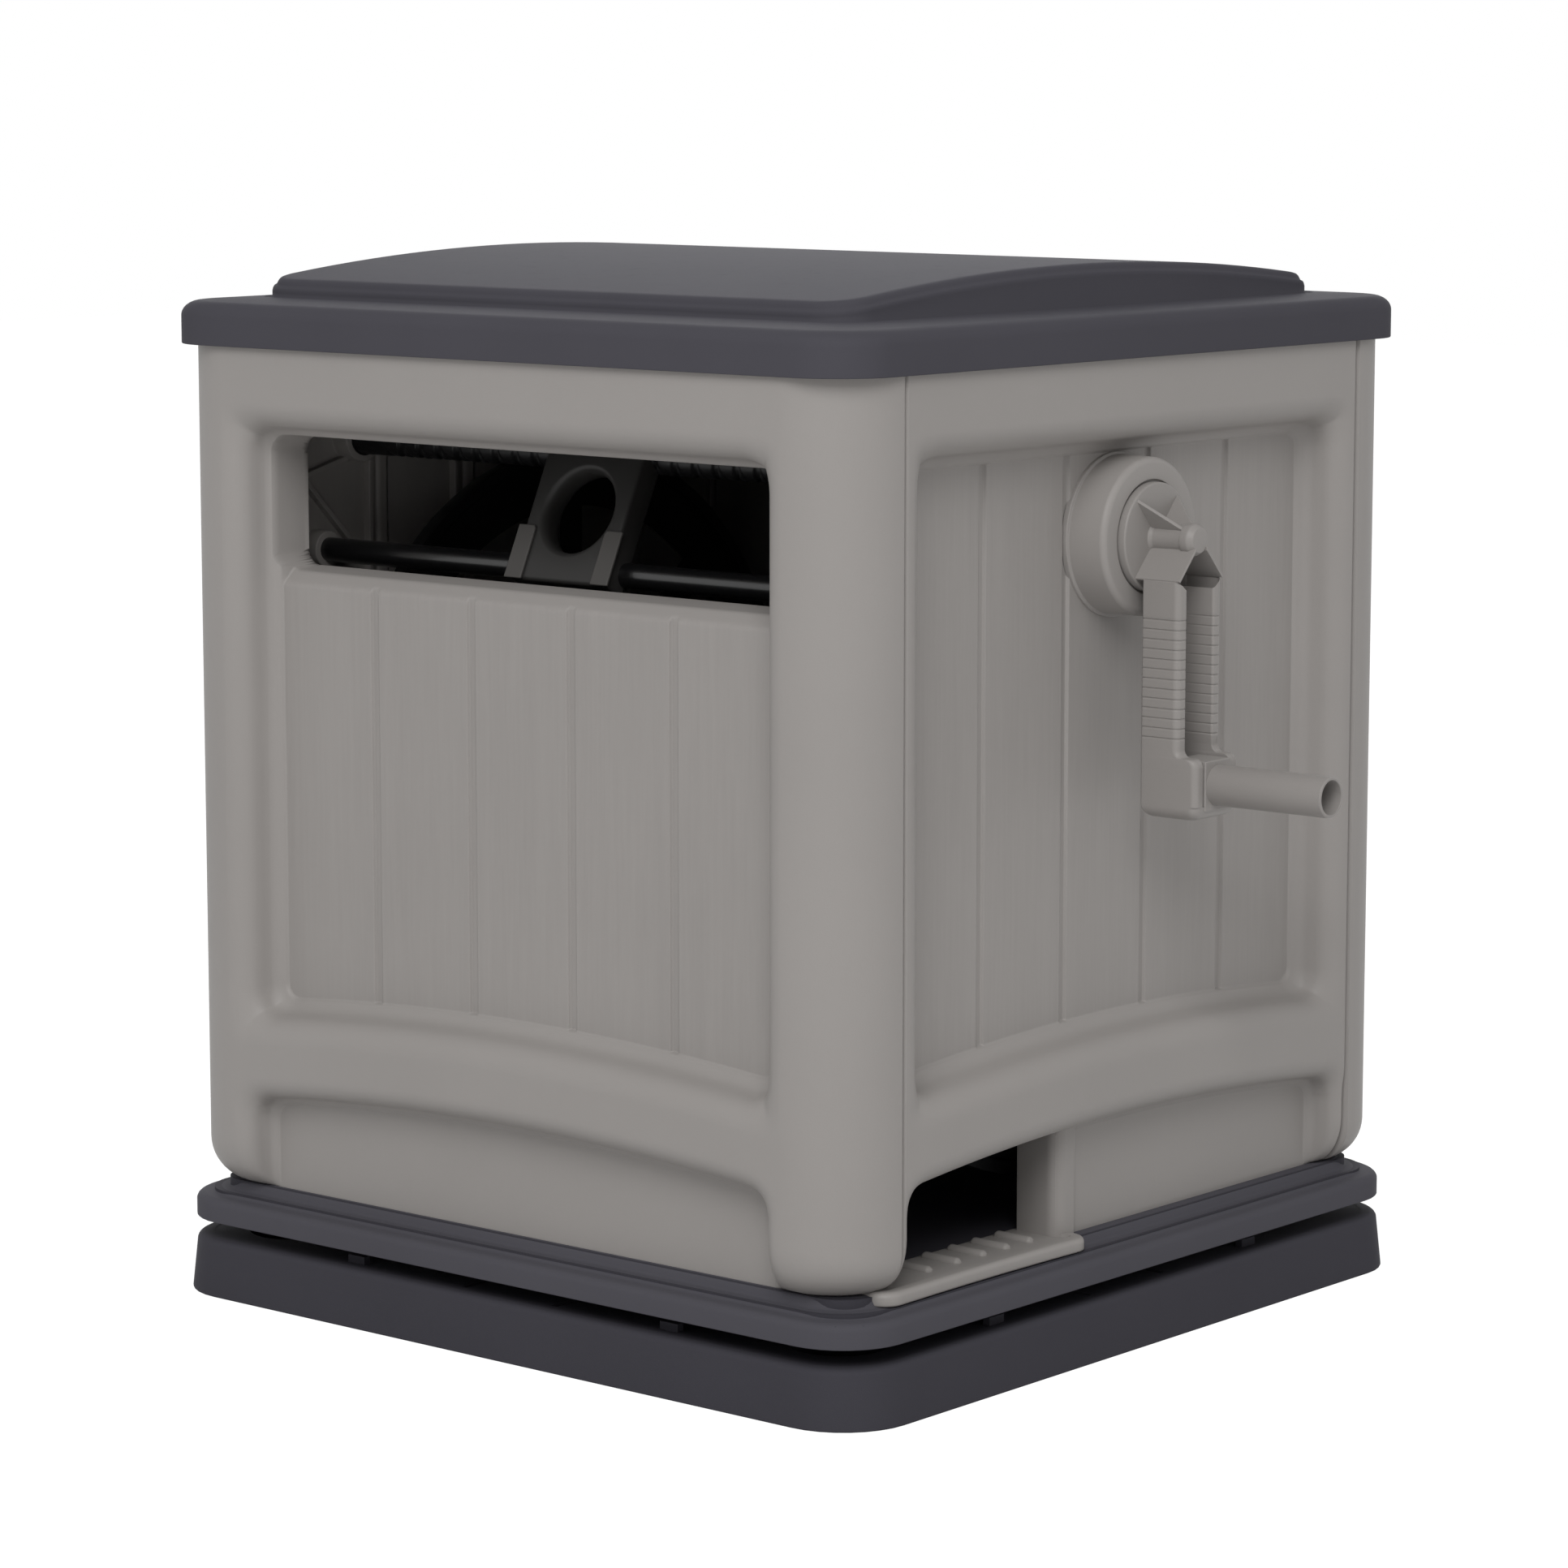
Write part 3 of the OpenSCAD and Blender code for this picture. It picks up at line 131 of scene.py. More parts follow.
def roundRect(halfX, halfY, radius, straight=24, corner=10):
    # points round a rectangle with rounded corners, anticlockwise from the right
    radius = max(radius, 1e-4)
    turn = np.linspace(0, np.pi / 2, corner + 1)
    arcs = [np.stack([sx * (halfX - radius) + radius * np.cos(turn + k * np.pi / 2),
                      sy * (halfY - radius) + radius * np.sin(turn + k * np.pi / 2)], -1)
            for k, (sx, sy) in enumerate(((1, 1), (-1, 1), (-1, -1), (1, -1)))]
    along = np.linspace(0, 1, straight + 1)[1:-1, None]
    sides = [arc[-1] * (1 - along) + after[0] * along for arc, after in zip(arcs, arcs[1:] + arcs[:1])]
    return np.concatenate([part for pair in zip(arcs, sides) for part in pair])


def ringSurface(name, rings, body, material, stands=(), cap=True):
    # rings of points (n x 3), each joined to the next; cap closes the last one on its middle
    points = np.stack(rings)
    count, around = points.shape[:2]
    faces = [quadGrid(count, around, True)]
    flat = points.reshape(-1, 3)
    if cap:
        last = (count - 1) * around + np.arange(around)
        faces.append(np.stack([last, np.roll(last, -1), np.full(around, len(flat))], -1))
        flat = np.concatenate([flat, points[-1].mean(0)[None]])
    return meshObject(name, flat, faces, body, material, stands)


def lathe(name, profile, centre, body, material, stands=(), around=64, axis=0):
    # profile of (along, radius) turned round the axis through centre
    profile = np.asarray(profile, float)
    turn = np.linspace(0, 2 * np.pi, around, endpoint=False)
    along, radius = profile[:, :1], np.maximum(profile[:, 1:], 1e-5)
    one, two = [k for k in range(3) if k != axis]
    points = np.zeros((len(profile), around, 3))
    points[..., axis] = along + centre[axis]
    points[..., one] = centre[one] + radius * np.cos(turn)
    points[..., two] = centre[two] + radius * np.sin(turn)
    faces = quadGrid(len(profile), around, True)
    return meshObject(name, points, [faces if axis == 1 else faces[..., ::-1]], body, material, stands)


def prism(name, outline, ends, place, body, material, edge):
    # a closed outline carried straight from one end to the other; place turns (along, a, b) into x, y, z
    outline = np.asarray(outline, float)
    count = len(outline)
    points = np.concatenate([place(np.full(count, end), outline[:, 0], outline[:, 1]) for end in ends])
    ring = np.arange(count)
    sides = np.stack([ring, np.roll(ring, -1), np.roll(ring, -1) + count, ring + count], -1)
    piece = meshObject(name, points, [sides, ring[None, ::-1], ring[None] + count], body, material)
    outward(piece)
    bevel(piece, edge)


def outward(piece):
    # turns every face to the outside
    shape = bmesh.new()
    shape.from_mesh(piece.data)
    bmesh.ops.recalc_face_normals(shape, faces=shape.faces)
    shape.to_mesh(piece.data)
    shape.free()


def bevel(piece, width, segments=3, angle=35):
    edge = piece.modifiers.new("edge", "BEVEL")
    edge.width, edge.segments = width, segments
    edge.limit_method, edge.angle_limit = "ANGLE", math.radians(angle)
    edge.harden_normals = True
    edge.use_clamp_overlap = True


def thicken(piece, wall):
    skin = piece.modifiers.new("wall", "SOLIDIFY")
    skin.thickness, skin.offset = wall, -1


def alongX(along, a, b):
    return np.stack([along, a, b], -1)


def alongZ(along, a, b):
    return np.stack([a, b, along], -1)


def boxDistance(u, v, halfU, low, top, radius):
    # signed distance to a box with rounded corners, negative inside
    a = np.abs(u) - halfU + radius
    b = np.abs(v - (low + top) / 2) - (top - low) / 2 + radius
    return np.hypot(np.maximum(a, 0), np.maximum(b, 0)) + np.minimum(np.maximum(a, b), 0) - radius


def edgeCurve(width, depth, radius, step, lip, floorAngle=25):
    # a moulded edge: a convex arc rolls down to a steep angle, a hollow arc eases on to floorAngle,
    # and a crisp step of depth step over width lip ends it; the steep angle is the one that fits
    floor = math.radians(floorAngle)
    steep = np.radians(np.linspace(floorAngle + 5, 89.5, 400))
    hollow = (width - lip - radius * np.sin(steep)) / (np.sin(steep) - np.sin(floor))
    reached = radius * (1 - np.cos(steep)) + hollow * (np.cos(floor) - np.cos(steep))
    fit = float(np.interp(depth - step, reached, steep))
    hollow = (width - lip - radius * math.sin(fit)) / (math.sin(fit) - math.sin(floor))
    a, b = np.linspace(0, fit, 24), np.linspace(fit, floor, 12)[1:]
    across = np.concatenate([radius * np.sin(a),
                             radius * math.sin(fit) + hollow * (math.sin(fit) - np.sin(b)), [width]])
    down = np.concatenate([radius * (1 - np.cos(a)),
                           radius * (1 - math.cos(fit)) + hollow * (np.cos(b) - math.cos(fit)), [depth]])
    return across, down


# Shader helpers

def tint(r, g, b):
    # screen colour 0-255 to linear
    return tuple(((c / 255 + .055) / 1.055) ** 2.4 if c > 10 else c / 255 / 12.92 for c in (r, g, b)) + (1,)


class Wire:
    # a shader socket that arithmetic works on
    def __init__(self, tree, socket):
        self.tree, self.socket = tree, socket

    def node(self, kind, settings=None, inputs=None, out=0):
        made = self.tree.nodes.new(kind)
        for key, value in (settings or {}).items():
            setattr(made, key, value)
        for key, value in (inputs or {}).items():
            if isinstance(value, Wire):
                self.tree.links.new(value.socket, made.inputs[key])
            else:
                made.inputs[key].default_value = value
        return Wire(self.tree, made.outputs[out])

    def sum(self, operation, other, swap=False):
        pair = (other, self) if swap else (self, other)
        return self.node("ShaderNodeMath", {"operation": operation}, {0: pair[0], 1: pair[1]})

    def __add__(self, other): return self.sum("ADD", other)
    def __radd__(self, other): return self.sum("ADD", other, True)
    def __sub__(self, other): return self.sum("SUBTRACT", other)
    def __rsub__(self, other): return self.sum("SUBTRACT", other, True)
    def __mul__(self, other): return self.sum("MULTIPLY", other)
    def __rmul__(self, other): return self.sum("MULTIPLY", other, True)

    def clamp(self, low, high):
        return self.node("ShaderNodeMapRange", {"clamp": True}, {"Value": self, "From Min": low, "From Max": high})

    def between(self, dark, light):
        return self.node("ShaderNodeMix", {"data_type": "RGBA"}, {0: self, 6: dark, 7: light}, out=2)

    def noise(self, scale, stretch=(1, 1, 1), detail=2.0, rough=.5):
        spot = self.node("ShaderNodeMapping", None, {"Vector": self, "Scale": stretch})
        return self.node("ShaderNodeTexNoise", None,
                         {"Vector": spot, "Scale": scale, "Detail": detail, "Roughness": rough})


def startFinish(name):
    finish = bpy.data.materials.new(name)
    finish.use_nodes = True
    tree = finish.node_tree
    shader = tree.nodes["Principled BSDF"]
    spot = Wire(tree, tree.nodes.new("ShaderNodeTexCoord").outputs["Object"])
    return finish, shader, spot


def connect(shader, colour, rough=None, height=None, strength=0, distance=0):
    for key, wire in (("Base Color", colour), ("Roughness", rough)):
        if wire is not None:
            wire.tree.links.new(wire.socket, shader.inputs[key])
    if height is not None:
        bump = height.node("ShaderNodeBump", None, {"Height": height, "Strength": strength, "Distance": distance})
        height.tree.links.new(bump.socket, shader.inputs["Normal"])


plastic = {"fine": 1150, "soft": 7, "scuff": 95, "scuffStretch": (1, 1, .35), "scuffRange": (.56, .78),
           "softShade": .7, "fineShade": .3, "shadeRange": (.25, .75), "fineHeight": .5, "fineRough": .12,
           "scuffRough": .06, "bump": .0006}
wood = {"wave": 26, "waveStretch": (1, 1, .14), "waveReach": .006, "streak": 330, "streakStretch": (1, 1, .045),
        "streakShare": .6, "broad": 90, "broadStretch": (1, 1, .04), "broadShare": .4, "height": 1.6,
        "stippleLoss": .5}
metal = {"line": 700, "lineStretch": (1, .12, .12), "lineRough": .16, "cloud": 45, "cloudRange": (.3, .7),
         "cloudRough": .05, "tarnish": .82, "bumpStrength": .05, "bump": .0002}


def scaled(colour, factor):
    return tuple(c * factor for c in colour[:3]) + (1,)


def mouldedPlastic(name, colour, spread=.05, rough=.46, stipple=.16, grain=0.0, coat=0.0, gloss=.3):
    # moulded plastic: a fine spark-eroded stipple, soft mottling, faint scuffs; grain adds drawn-out
    # vertical wood streaks wherever the plank mark is 1
    q = plastic
    finish, shader, spot = startFinish(name)
    fine = spot.noise(q["fine"], detail=3)
    soft = spot.noise(q["soft"], detail=3)
    scuff = spot.noise(q["scuff"], q["scuffStretch"], detail=4, rough=.65).clamp(*q["scuffRange"])
    shade = soft * q["softShade"] + fine * q["fineShade"]
    height = fine * q["fineHeight"]
    if grain:
        plank = spot.node("ShaderNodeAttribute", {"attribute_name": "plank"}, out="Fac")
        wave = spot.noise(wood["wave"], wood["waveStretch"], detail=2)
        bend = wave.node("ShaderNodeCombineXYZ", None,
                         {"X": wave * wood["waveReach"], "Y": wave * wood["waveReach"], "Z": 0.0})
        line = spot.node("ShaderNodeVectorMath", {"operation": "ADD"}, {0: spot, 1: bend})
        streak = line.noise(wood["streak"], wood["streakStretch"], detail=3, rough=.6)
        broad = line.noise(wood["broad"], wood["broadStretch"], detail=2)
        tone = (streak * wood["streakShare"] + broad * wood["broadShare"] - .5) * plank
        shade = shade + tone * grain
        height = height * (1 - plank * wood["stippleLoss"]) + tone * wood["height"]
    colours = shade.clamp(*q["shadeRange"]).between(scaled(colour, 1 - spread), scaled(colour, 1 + spread))
    connect(shader, colours, rough + (fine - .5) * q["fineRough"] + scuff * q["scuffRough"], height,
            strength=stipple, distance=q["bump"])
    shader.inputs["Specular IOR Level"].default_value = gloss
    shader.inputs["Coat Weight"].default_value = coat
    return finish


def brushedMetal(name, colour, rough):
    # turned metal: fine lines round the axis, faint tarnish
    q = metal
    finish, shader, spot = startFinish(name)
    line = spot.noise(q["line"], q["lineStretch"], detail=2)
    cloud = spot.noise(q["cloud"], detail=3)
    colours = cloud.clamp(*q["cloudRange"]).between(scaled(colour, q["tarnish"]), colour)
    connect(shader, colours, rough + (line - .5) * q["lineRough"] + cloud * q["cloudRough"], line,
            strength=q["bumpStrength"], distance=q["bump"])
    shader.inputs["Metallic"].default_value = 1
    return finish


finishes = {
    "wall": mouldedPlastic("taupeWall", tint(149, 145, 142), .04, rough=.5, grain=1.1),
    "trim": mouldedPlastic("taupeTrim", tint(148, 144, 141), .035, rough=.5),
    "crank": mouldedPlastic("taupeCrank", tint(143, 139, 136), .04, rough=.46),
    "lid": mouldedPlastic("slateLid", tint(75, 74, 80), .06, rough=.6, gloss=.02),
    "slate": mouldedPlastic("slateBase", tint(65, 64, 70), .06, rough=.6, gloss=.03),
    # slateTablePaintedLight: slate lifted to a lighter tone for the turntable alone, painted light against the shade
    # the turntable falls in
    "tablePaintedLight": mouldedPlastic("slateTablePaintedLight", tint(80, 79, 85), .06, rough=.6, gloss=.03),
    "black": mouldedPlastic("blackPlastic", tint(26, 26, 27), .12, rough=.42, stipple=.12, gloss=.35),
    # charcoal in two copies: the plate's is darkened for the shade over its upper part (painted shade), and the
    # clips' keeps the lit tone (painted light); in their own colour the clips are only a little lighter than the
    # plate
    "guide": mouldedPlastic("charcoalPlasticShaded", tint(56, 55, 54), .06, rough=.42, stipple=.08, gloss=.25),
    "clipsLitCopy": mouldedPlastic("charcoalClipsLit", tint(88, 86, 84), .06, rough=.45, stipple=.08, gloss=.2),
    "rod": mouldedPlastic("blackCoat", tint(20, 20, 21), .08, rough=.3, stipple=.03, coat=.3, gloss=.6),
    "rubber": mouldedPlastic("sealRubber", tint(24, 24, 25), .12, rough=.7, stipple=.25),
    "steel": brushedMetal("zincSteel", tint(176, 178, 182), .3),
    "brass": brushedMetal("turnedBrass", tint(190, 160, 96), .26),
}
slotFinish = {"taupe_plastic": "trim", "slate_plastic": "slate", "black_plastic": "black", "black_rod": "rod",
              "steel": "steel", "brass": "brass", "rubber": "rubber"}
print("finishes made:", len(finishes))


# Every CAD node gets its finish, and those in softEdges a softened edge

softEdges = {"guide_clips": .0012, "swivel_cap": .001, "hinge_leaves": .0008,
             "left_flange": .0006, "right_flange": .0006, "reel_drum": .0006}
softening = {"weld": 1e-6, "flatAngle": .4, "segments": 2, "bevelAngle": 40}
for row in frame["record"]["subparts"]:
    part = nodes[row["node"]]
    finish = finishes[slotFinish[row["material_slot"]]]
    if part.material_slots:
        part.material_slots[0].material = finish
    else:
        part.data.materials.append(finish)
for nodeName, width in softEdges.items():
    part = nodes[nodeName]
    part.modifiers.new("join", "WELD").merge_threshold = softening["weld"]
    flatten = part.modifiers.new("flat", "DECIMATE")
    flatten.decimate_type, flatten.angle_limit = "DISSOLVE", math.radians(softening["flatAngle"])
    bevel(part, width, softening["segments"], softening["bevelAngle"])


# Case panels: one surface each over (along the wall, height), pushed in by the recess, the apron and the foot

panel = {"halfX": .276, "halfY": .2815, "post": .051, "wall": .0032, "foot": .072, "top": .6161, "footRound": .026,
         "footRows": 12, "endHalves": (.228, .201, .205), "sideHalves": (.225, .198, .2105),
         "edgeWidth": .027, "edgeRound": .018, "depth": .028, "lip": .0016, "step": .0019,
         "outerLow": .1580, "outerTop": .5711, "floorLow": .1850, "floorTop": .5461,
         "outerCorner": .017, "floorCorner": .010, "floorShare": .985,
         "grooves": (.04075, .12225), "grooveHalf": .0035, "grooveWall": .0009, "grooveDepth": .0020,
         "flange": .012, "flangeEdge": .0012,
         "apronTop": .1177, "apronEdge": .020, "apronRound": .014, "apronDepth": .022, "apronStep": .001,
         "apronOuterCorner": .022, "apronCorner": .010, "belowFoot": -.4, "outletDepth": .0195,
         "archAt": (.072, .098, .25, .44), "archRise": (0, .0188, .0186, 0)}
window = {"half": .2037, "low": .4665, "top": .5474, "corner": .010, "snap": .0022, "sillRound": .012,
          "sillEase": .004, "sillEnd": .004, "plankGap": .008, "jamb": .025, "jambEdge": .0022}
outlet = (-.212, -.0550)

# grid lines, closer together where the surface bends: rows up the wall, then half widths from the middle to a seam
panelRows = np.concatenate([
    panel["foot"] + panel["footRound"] * (1 - np.cos(np.linspace(0, np.pi / 2, panel["footRows"], endpoint=False))),
    spaced([(.098, .003), (.106, .001), (.1162, .0005), (.1192, .0012), (.1378, .004), (.1580, .0012),
            (.1818, .0005), (.1878, .0012), (.197, .012), (.44, .006), (.4535, .0011), (.4640, .0005),
            (.4665, .0013), (.478, .008), (.533, .0013), (.5445, .0005), (.5505, .0012), (.5712, .006)],
           panel["top"])])
firstPlank = [(0, .008), (.03625, .00045), (.04525, .008)]
nextPlank = [(.11775, .00045), (.12675, .008)]
endEdge = [(.185, .002), (.196, .0005), (.2090, .0012), (.228, .0025), (.2355, .005)]
sideEdge = [(.185, .003), (.196, .0006), (.200, .0012), (.209, .0006), (.2125, .0012), (.2258, .0006)]
endHalf = spaced(firstPlank + nextPlank + endEdge + [(.3046, .0006)], .3070)
backHalf = spaced(firstPlank + nextPlank + endEdge + [(.3058, .0006)], .3082)
sideHalf = spaced(firstPlank + [(.0730, .008)] + nextPlank + sideEdge, .2282)
seamHalf = np.append(sideHalf[sideHalf < .2222], [.2228, .2234, .2240, .2246, .2252])


def onOutline(u, v, distance, side, reach):
    # grid points that lie within reach beyond an outline slide back on to it, along its gradient
    gap, step = distance(u, v), 1e-5
    pull = np.where((side * gap > 0) & (side * gap < reach), -gap, 0)
    return (u + (distance(u + step, v) - gap) / step * pull, v + (distance(u, v + step) - gap) / step * pull)


def wallPath(u, halfAlong, halfOut, post):
    # a wall seen from above: straight, then round the corner post, then straight to the seam
    flat = halfAlong - post
    over = np.abs(u) - flat
    turn = np.clip(over / post, 0, np.pi / 2)
    tail = np.maximum(over - post * np.pi / 2, 0)
    x = np.sign(u) * np.where(over > 0, flat + post * np.sin(turn), np.abs(u))
    y = -halfOut + np.where(over > 0, post * (1 - np.cos(turn)), 0) + tail
    return x, y, -np.sign(u) * np.where(over > 0, np.sin(turn), 0), np.where(over > 0, np.cos(turn), 1)


def edgeShare(outer, floor):
    # 0 on and outside the outer outline, 1 on and inside the floor's, by the distances to both
    inside, short = np.maximum(-outer, 0), np.maximum(floor, 0)
    return np.where(-outer > 0, inside / (inside + short + 1e-9), 0)


def windowHole(u, v):
    w = window
    return boxDistance(u, v, w["half"], w["low"], w["top"], w["corner"])


def cellMiddle(a):
    return (a[:-1, :-1] + a[1:, 1:] + a[:-1, 1:] + a[1:, :-1]) / 4


def casePanel(name, lowHalf, highHalf, isEnd, turns, stands, hasWindow=False, hasOutlet=False):
    p, w = panel, window
    u, v = np.meshgrid(np.concatenate([-lowHalf[:0:-1], highHalf]), panelRows)
    beyond = np.maximum(u - highHalf[-1], -u - lowHalf[-1])
    halfAlong, halfOut = (p["halfX"], p["halfY"]) if isEnd else (p["halfY"], p["halfX"])
    outerHalf, floorHalf, apronHalf = p["endHalves"] if isEnd else p["sideHalves"]
    if hasWindow:
        u, v = onOutline(u, v, windowHole, -1, w["snap"])
    # recess: its edge from the outer outline in to the floor, then the plank grooves
    share = edgeShare(boxDistance(u, v, outerHalf, p["outerLow"], p["outerTop"], p["outerCorner"]),
                      boxDistance(u, v, floorHalf, p["floorLow"], p["floorTop"], p["floorCorner"]))
    recess = np.interp(share * p["edgeWidth"],
                       *edgeCurve(p["edgeWidth"], p["depth"], p["edgeRound"], p["step"], p["lip"]))
    onFloor = smooth(p["floorShare"], 1, share)
    plank = onFloor * (v < w["low"] - w["plankGap"]) if hasWindow else onFloor
    groove = np.min([smooth(p["grooveHalf"] - p["grooveWall"], p["grooveHalf"], np.abs(np.abs(u) - line))
                     for line in p["grooves"]], 0)
    cut = p["grooveDepth"] * (1 - groove)
    if hasWindow:   # the sill's edge eases into a 45 degree slope, where the grooves run out
        down = np.clip(v - (w["low"] - w["sillRound"]), 0, w["sillRound"])
        sill = np.where(down < w["sillEase"], down ** 2 / (2 * w["sillEase"]), down - w["sillEase"] / 2)
        sill = sill * (1 - smooth(w["half"] - w["sillEnd"], w["half"], np.abs(u)))
        cut = np.where(v <= w["low"] + 1e-6, np.maximum(cut, sill), 0)
    recess = recess + cut * onFloor
    if hasWindow:   # sill, jambs and head run in to the opening
        recess = recess + (p["depth"] + w["jamb"] - recess) * np.clip(1 - windowHole(u, v) / w["jambEdge"], 0, 1)
    # apron: the same kind of edge round a low opening that runs off the bottom
    share = edgeShare(boxDistance(u, v, apronHalf + p["apronEdge"], p["belowFoot"], p["apronTop"] + p["apronEdge"],
                                  p["apronOuterCorner"]),
                      boxDistance(u, v, apronHalf, p["belowFoot"], p["apronTop"], p["apronCorner"]))
    apron = np.interp(share * p["apronEdge"], *edgeCurve(p["apronEdge"], p["apronDepth"], p["apronRound"],
                                                         p["apronStep"], p["apronStep"]))
    rise = np.clip(p["foot"] + p["footRound"] - v, 0, p["footRound"])
    foot = p["footRound"] - np.sqrt(p["footRound"] ** 2 - rise ** 2)
    inward = recess + apron + foot * (1 - apron / p["apronDepth"])
    inward = inward + p["flange"] * np.clip(1 + beyond / p["flangeEdge"], 0, 1)   # the edges at the seams turn in
    arch = np.clip(1 - (u / p["halfX"]) ** 2, 0, 1) * np.interp(v, p["archAt"], p["archRise"])
    x, y, inX, inY = wallPath(u, halfAlong, halfOut, p["post"])
    x, y = x + inX * inward, y + inY * inward
    c, s = ((1, 0), (0, 1), (-1, 0), (0, -1))[turns]
    points = np.stack([c * x - s * y, s * x + c * y, v + arch], -1)
    keep = np.ones(cellMiddle(u).shape, bool)
    if hasWindow:
        keep &= windowHole(cellMiddle(u), cellMiddle(v)) > 0
    if hasOutlet:
        across = cellMiddle(u)
        keep &= ~((across > outlet[0]) & (across < outlet[1]) & (cellMiddle(apron) > p["outletDepth"]))
    piece = meshObject(name, points, [quadGrid(*u.shape)[keep]], "housing", finishes["wall"], stands,
                       {"plank": plank})
    thicken(piece, p["wall"])


casePanel("frontPanel", endHalf, endHalf, True, 0, ["front_panel"], hasWindow=True)
casePanel("rightPanel", sideHalf, seamHalf, False, 1, ["right_panel"], hasOutlet=True)
casePanel("backPanel", backHalf, backHalf, True, 2, ["back_panel"])
casePanel("leftPanel", seamHalf, sideHalf, False, 3, ["left_panel"])
print("case panels made")


# Lid: rings from the skirt up over the ledge, the crown's riser and its vault

lidSizes = {"halfX": .280, "halfY": .2855, "corner": .040, "cornerShare": .35, "ledge": .041, "ledgeDeeper": .13,
            "crownX": .239, "crownY": .238, "crownCorner": .026, "crownCornerShare": .8, "crownSeat": .6333,
            "vaultFrom": .030, "vaultTo": .2385, "vaultRings": 15, "least": .0004,
            "apex": .659, "eave": .6436, "vaultHalf": .237, "wall": .003}
skirt = rounded([(.0026, .6044), (0, .6044), (0, .6306), (.0375, .6332), (.0384, .6322), (.0396, .6322)],
                (.0006, .0095, .0005, .0004), 9)
riser = ((0, .0078), (.0004, .0060), (.0010, .0049), (.0024, .0043), (.0030, .0031), (.0038, .0016), (.0050, .0005),
         (.0068, 0), (.010, 0), (.016, 0))


def vault(y):
    # the crown's arch from front to back
    q = lidSizes
    return q["apex"] - (q["apex"] - q["eave"]) * (y / q["vaultHalf"]) ** 2


def lidRings():
    q = lidSizes
    rings = []
    for inset, z in skirt:
        deeper = 1 + q["ledgeDeeper"] * min(inset / q["ledge"], 1)
        ring = roundRect(q["halfX"] - inset, q["halfY"] - inset * deeper, q["corner"] - inset * q["cornerShare"])
        rings.append(np.column_stack([ring, np.full(len(ring), z)]))
    ring = roundRect(q["crownX"], q["crownY"], q["crownCorner"])
    rings.append(np.column_stack([ring, np.full(len(ring), q["crownSeat"])]))
    flat = [(float(i), 0) for i in np.linspace(q["vaultFrom"], q["vaultTo"], q["vaultRings"])]
    for inset, drop in list(riser) + flat:
        ring = roundRect(q["crownX"] - inset, max(q["crownY"] - inset, q["least"]),
                         q["crownCorner"] - inset * q["crownCornerShare"])
        rings.append(np.column_stack([ring, vault(ring[:, 1]) - drop]))
    return rings


lidShell = ringSurface("lidShell", lidRings(), "lid", finishes["lid"], ["lid"])
thicken(lidShell, lidSizes["wall"])

hinge = {"y": .293, "z": .60119, "r": .006, "half": .020, "pitch": .300, "rootY": .2830, "top": .0130, "low": .0040,
         "slope": .001, "edge": .0006}
for side, label in bothSides:
    turn = np.linspace(-np.pi / 2, np.pi / 2, 17)
    knuckle = np.stack([hinge["y"] + hinge["r"] * np.cos(turn), hinge["z"] + hinge["r"] * np.sin(turn)], -1)
    ear = np.concatenate([[(hinge["rootY"], hinge["z"] + hinge["top"]), (hinge["rootY"], hinge["z"] + hinge["low"])],
                          knuckle, [(hinge["y"] - hinge["slope"], hinge["z"] + hinge["top"])]])
    ends = (side * hinge["pitch"] / 2 - hinge["half"], side * hinge["pitch"] / 2 + hinge["half"])
    prism("lidEar" + label, ear, ends, alongX, "lid", finishes["lid"], hinge["edge"])
print("lid made")


# Turntable and ground plate get a smooth outer skin over their solids

turntableSizes = {"half": .2833, "corner": .043,
                  "profile": rounded([(.004, .0476), (0, .0476), (0, .0622), (.0095, .0630), (.0125, .0654),
                                      (.0185, .0660), (.0215, .0723), (.034, .0723)],
                                     (.0005, .0048, .004, .004, .003, .004), 6)}
baseSizes = {"half": .28655, "corner": .046,
             "profile": rounded([(.004, .0003), (0, .0003), (.0034, .0360), (.012, .0360)], (.0006, .0042), 6)}
skinGrid = {"straight": 30, "bend": 12, "cornerShare": .6}


def plateSkin(name, q, body, finish):
    rings = []
    for inset, z in q["profile"]:
        ring = roundRect(q["half"] - inset, q["half"] - inset, q["corner"] - inset * skinGrid["cornerShare"],
                         skinGrid["straight"], skinGrid["bend"])
        rings.append(np.column_stack([ring, np.full(len(ring), z)]))
    ringSurface(name, rings, body, finishes[finish], cap=False)


# the turntable skin takes the lighter slate copy: painted light
plateSkin("turntableSkin", turntableSizes, "housing", "tablePaintedLight")
plateSkin("groundSkin", baseSizes, "ground_base", "slate")
print("plates made")


# Crank: disc, spindle, fins, gable roof, channel arm with its boot, and the tube grip

crank = {"y": .007, "z": .496, "armX": .286, "frontX": .313, "half": .0222, "wall": .0087, "back": .0035,
         "swell": .0137,
         "disc": rounded([(.2744, .0005), (.2744, .0332), (.2808, .0332), (.2808, .0005)], (.0006, .0012), 5),
         "spindle": rounded([(.2805, .0108), (.2818, .0095), (.2830, .0090), (.3030, .0087), (.3034, .0098),
                             (.3085, .0098), (.3122, .0075), (.3124, .0000)],
                            (.0006, .001, .0002, .0004, .0025, .0008), 4),
         "fin": [(.2800, 0), (.2800, .0318), (.3034, .0092), (.3034, 0)], "finHalf": .0011, "finLean": 41,
         "finEdge": .0005,
         "roof": ((.0055, -.0042), (.0226, -.0228), (.0216, -.0240), (.0055, -.0064)), "roofEnds": (.2800, .3134),
         "roofEdge": .0004}


def crankLathe(name, profile, stands=()):
    lathe(name, profile, (0, crank["y"], crank["z"]), "crank", finishes["crank"], stands)


def crankPrism(name, outline, ends, place, edge):
    prism(name, outline, ends, lambda along, a, b: place(along, a, b) + np.array([0, crank["y"], crank["z"]]),
          "crank", finishes["crank"], edge)


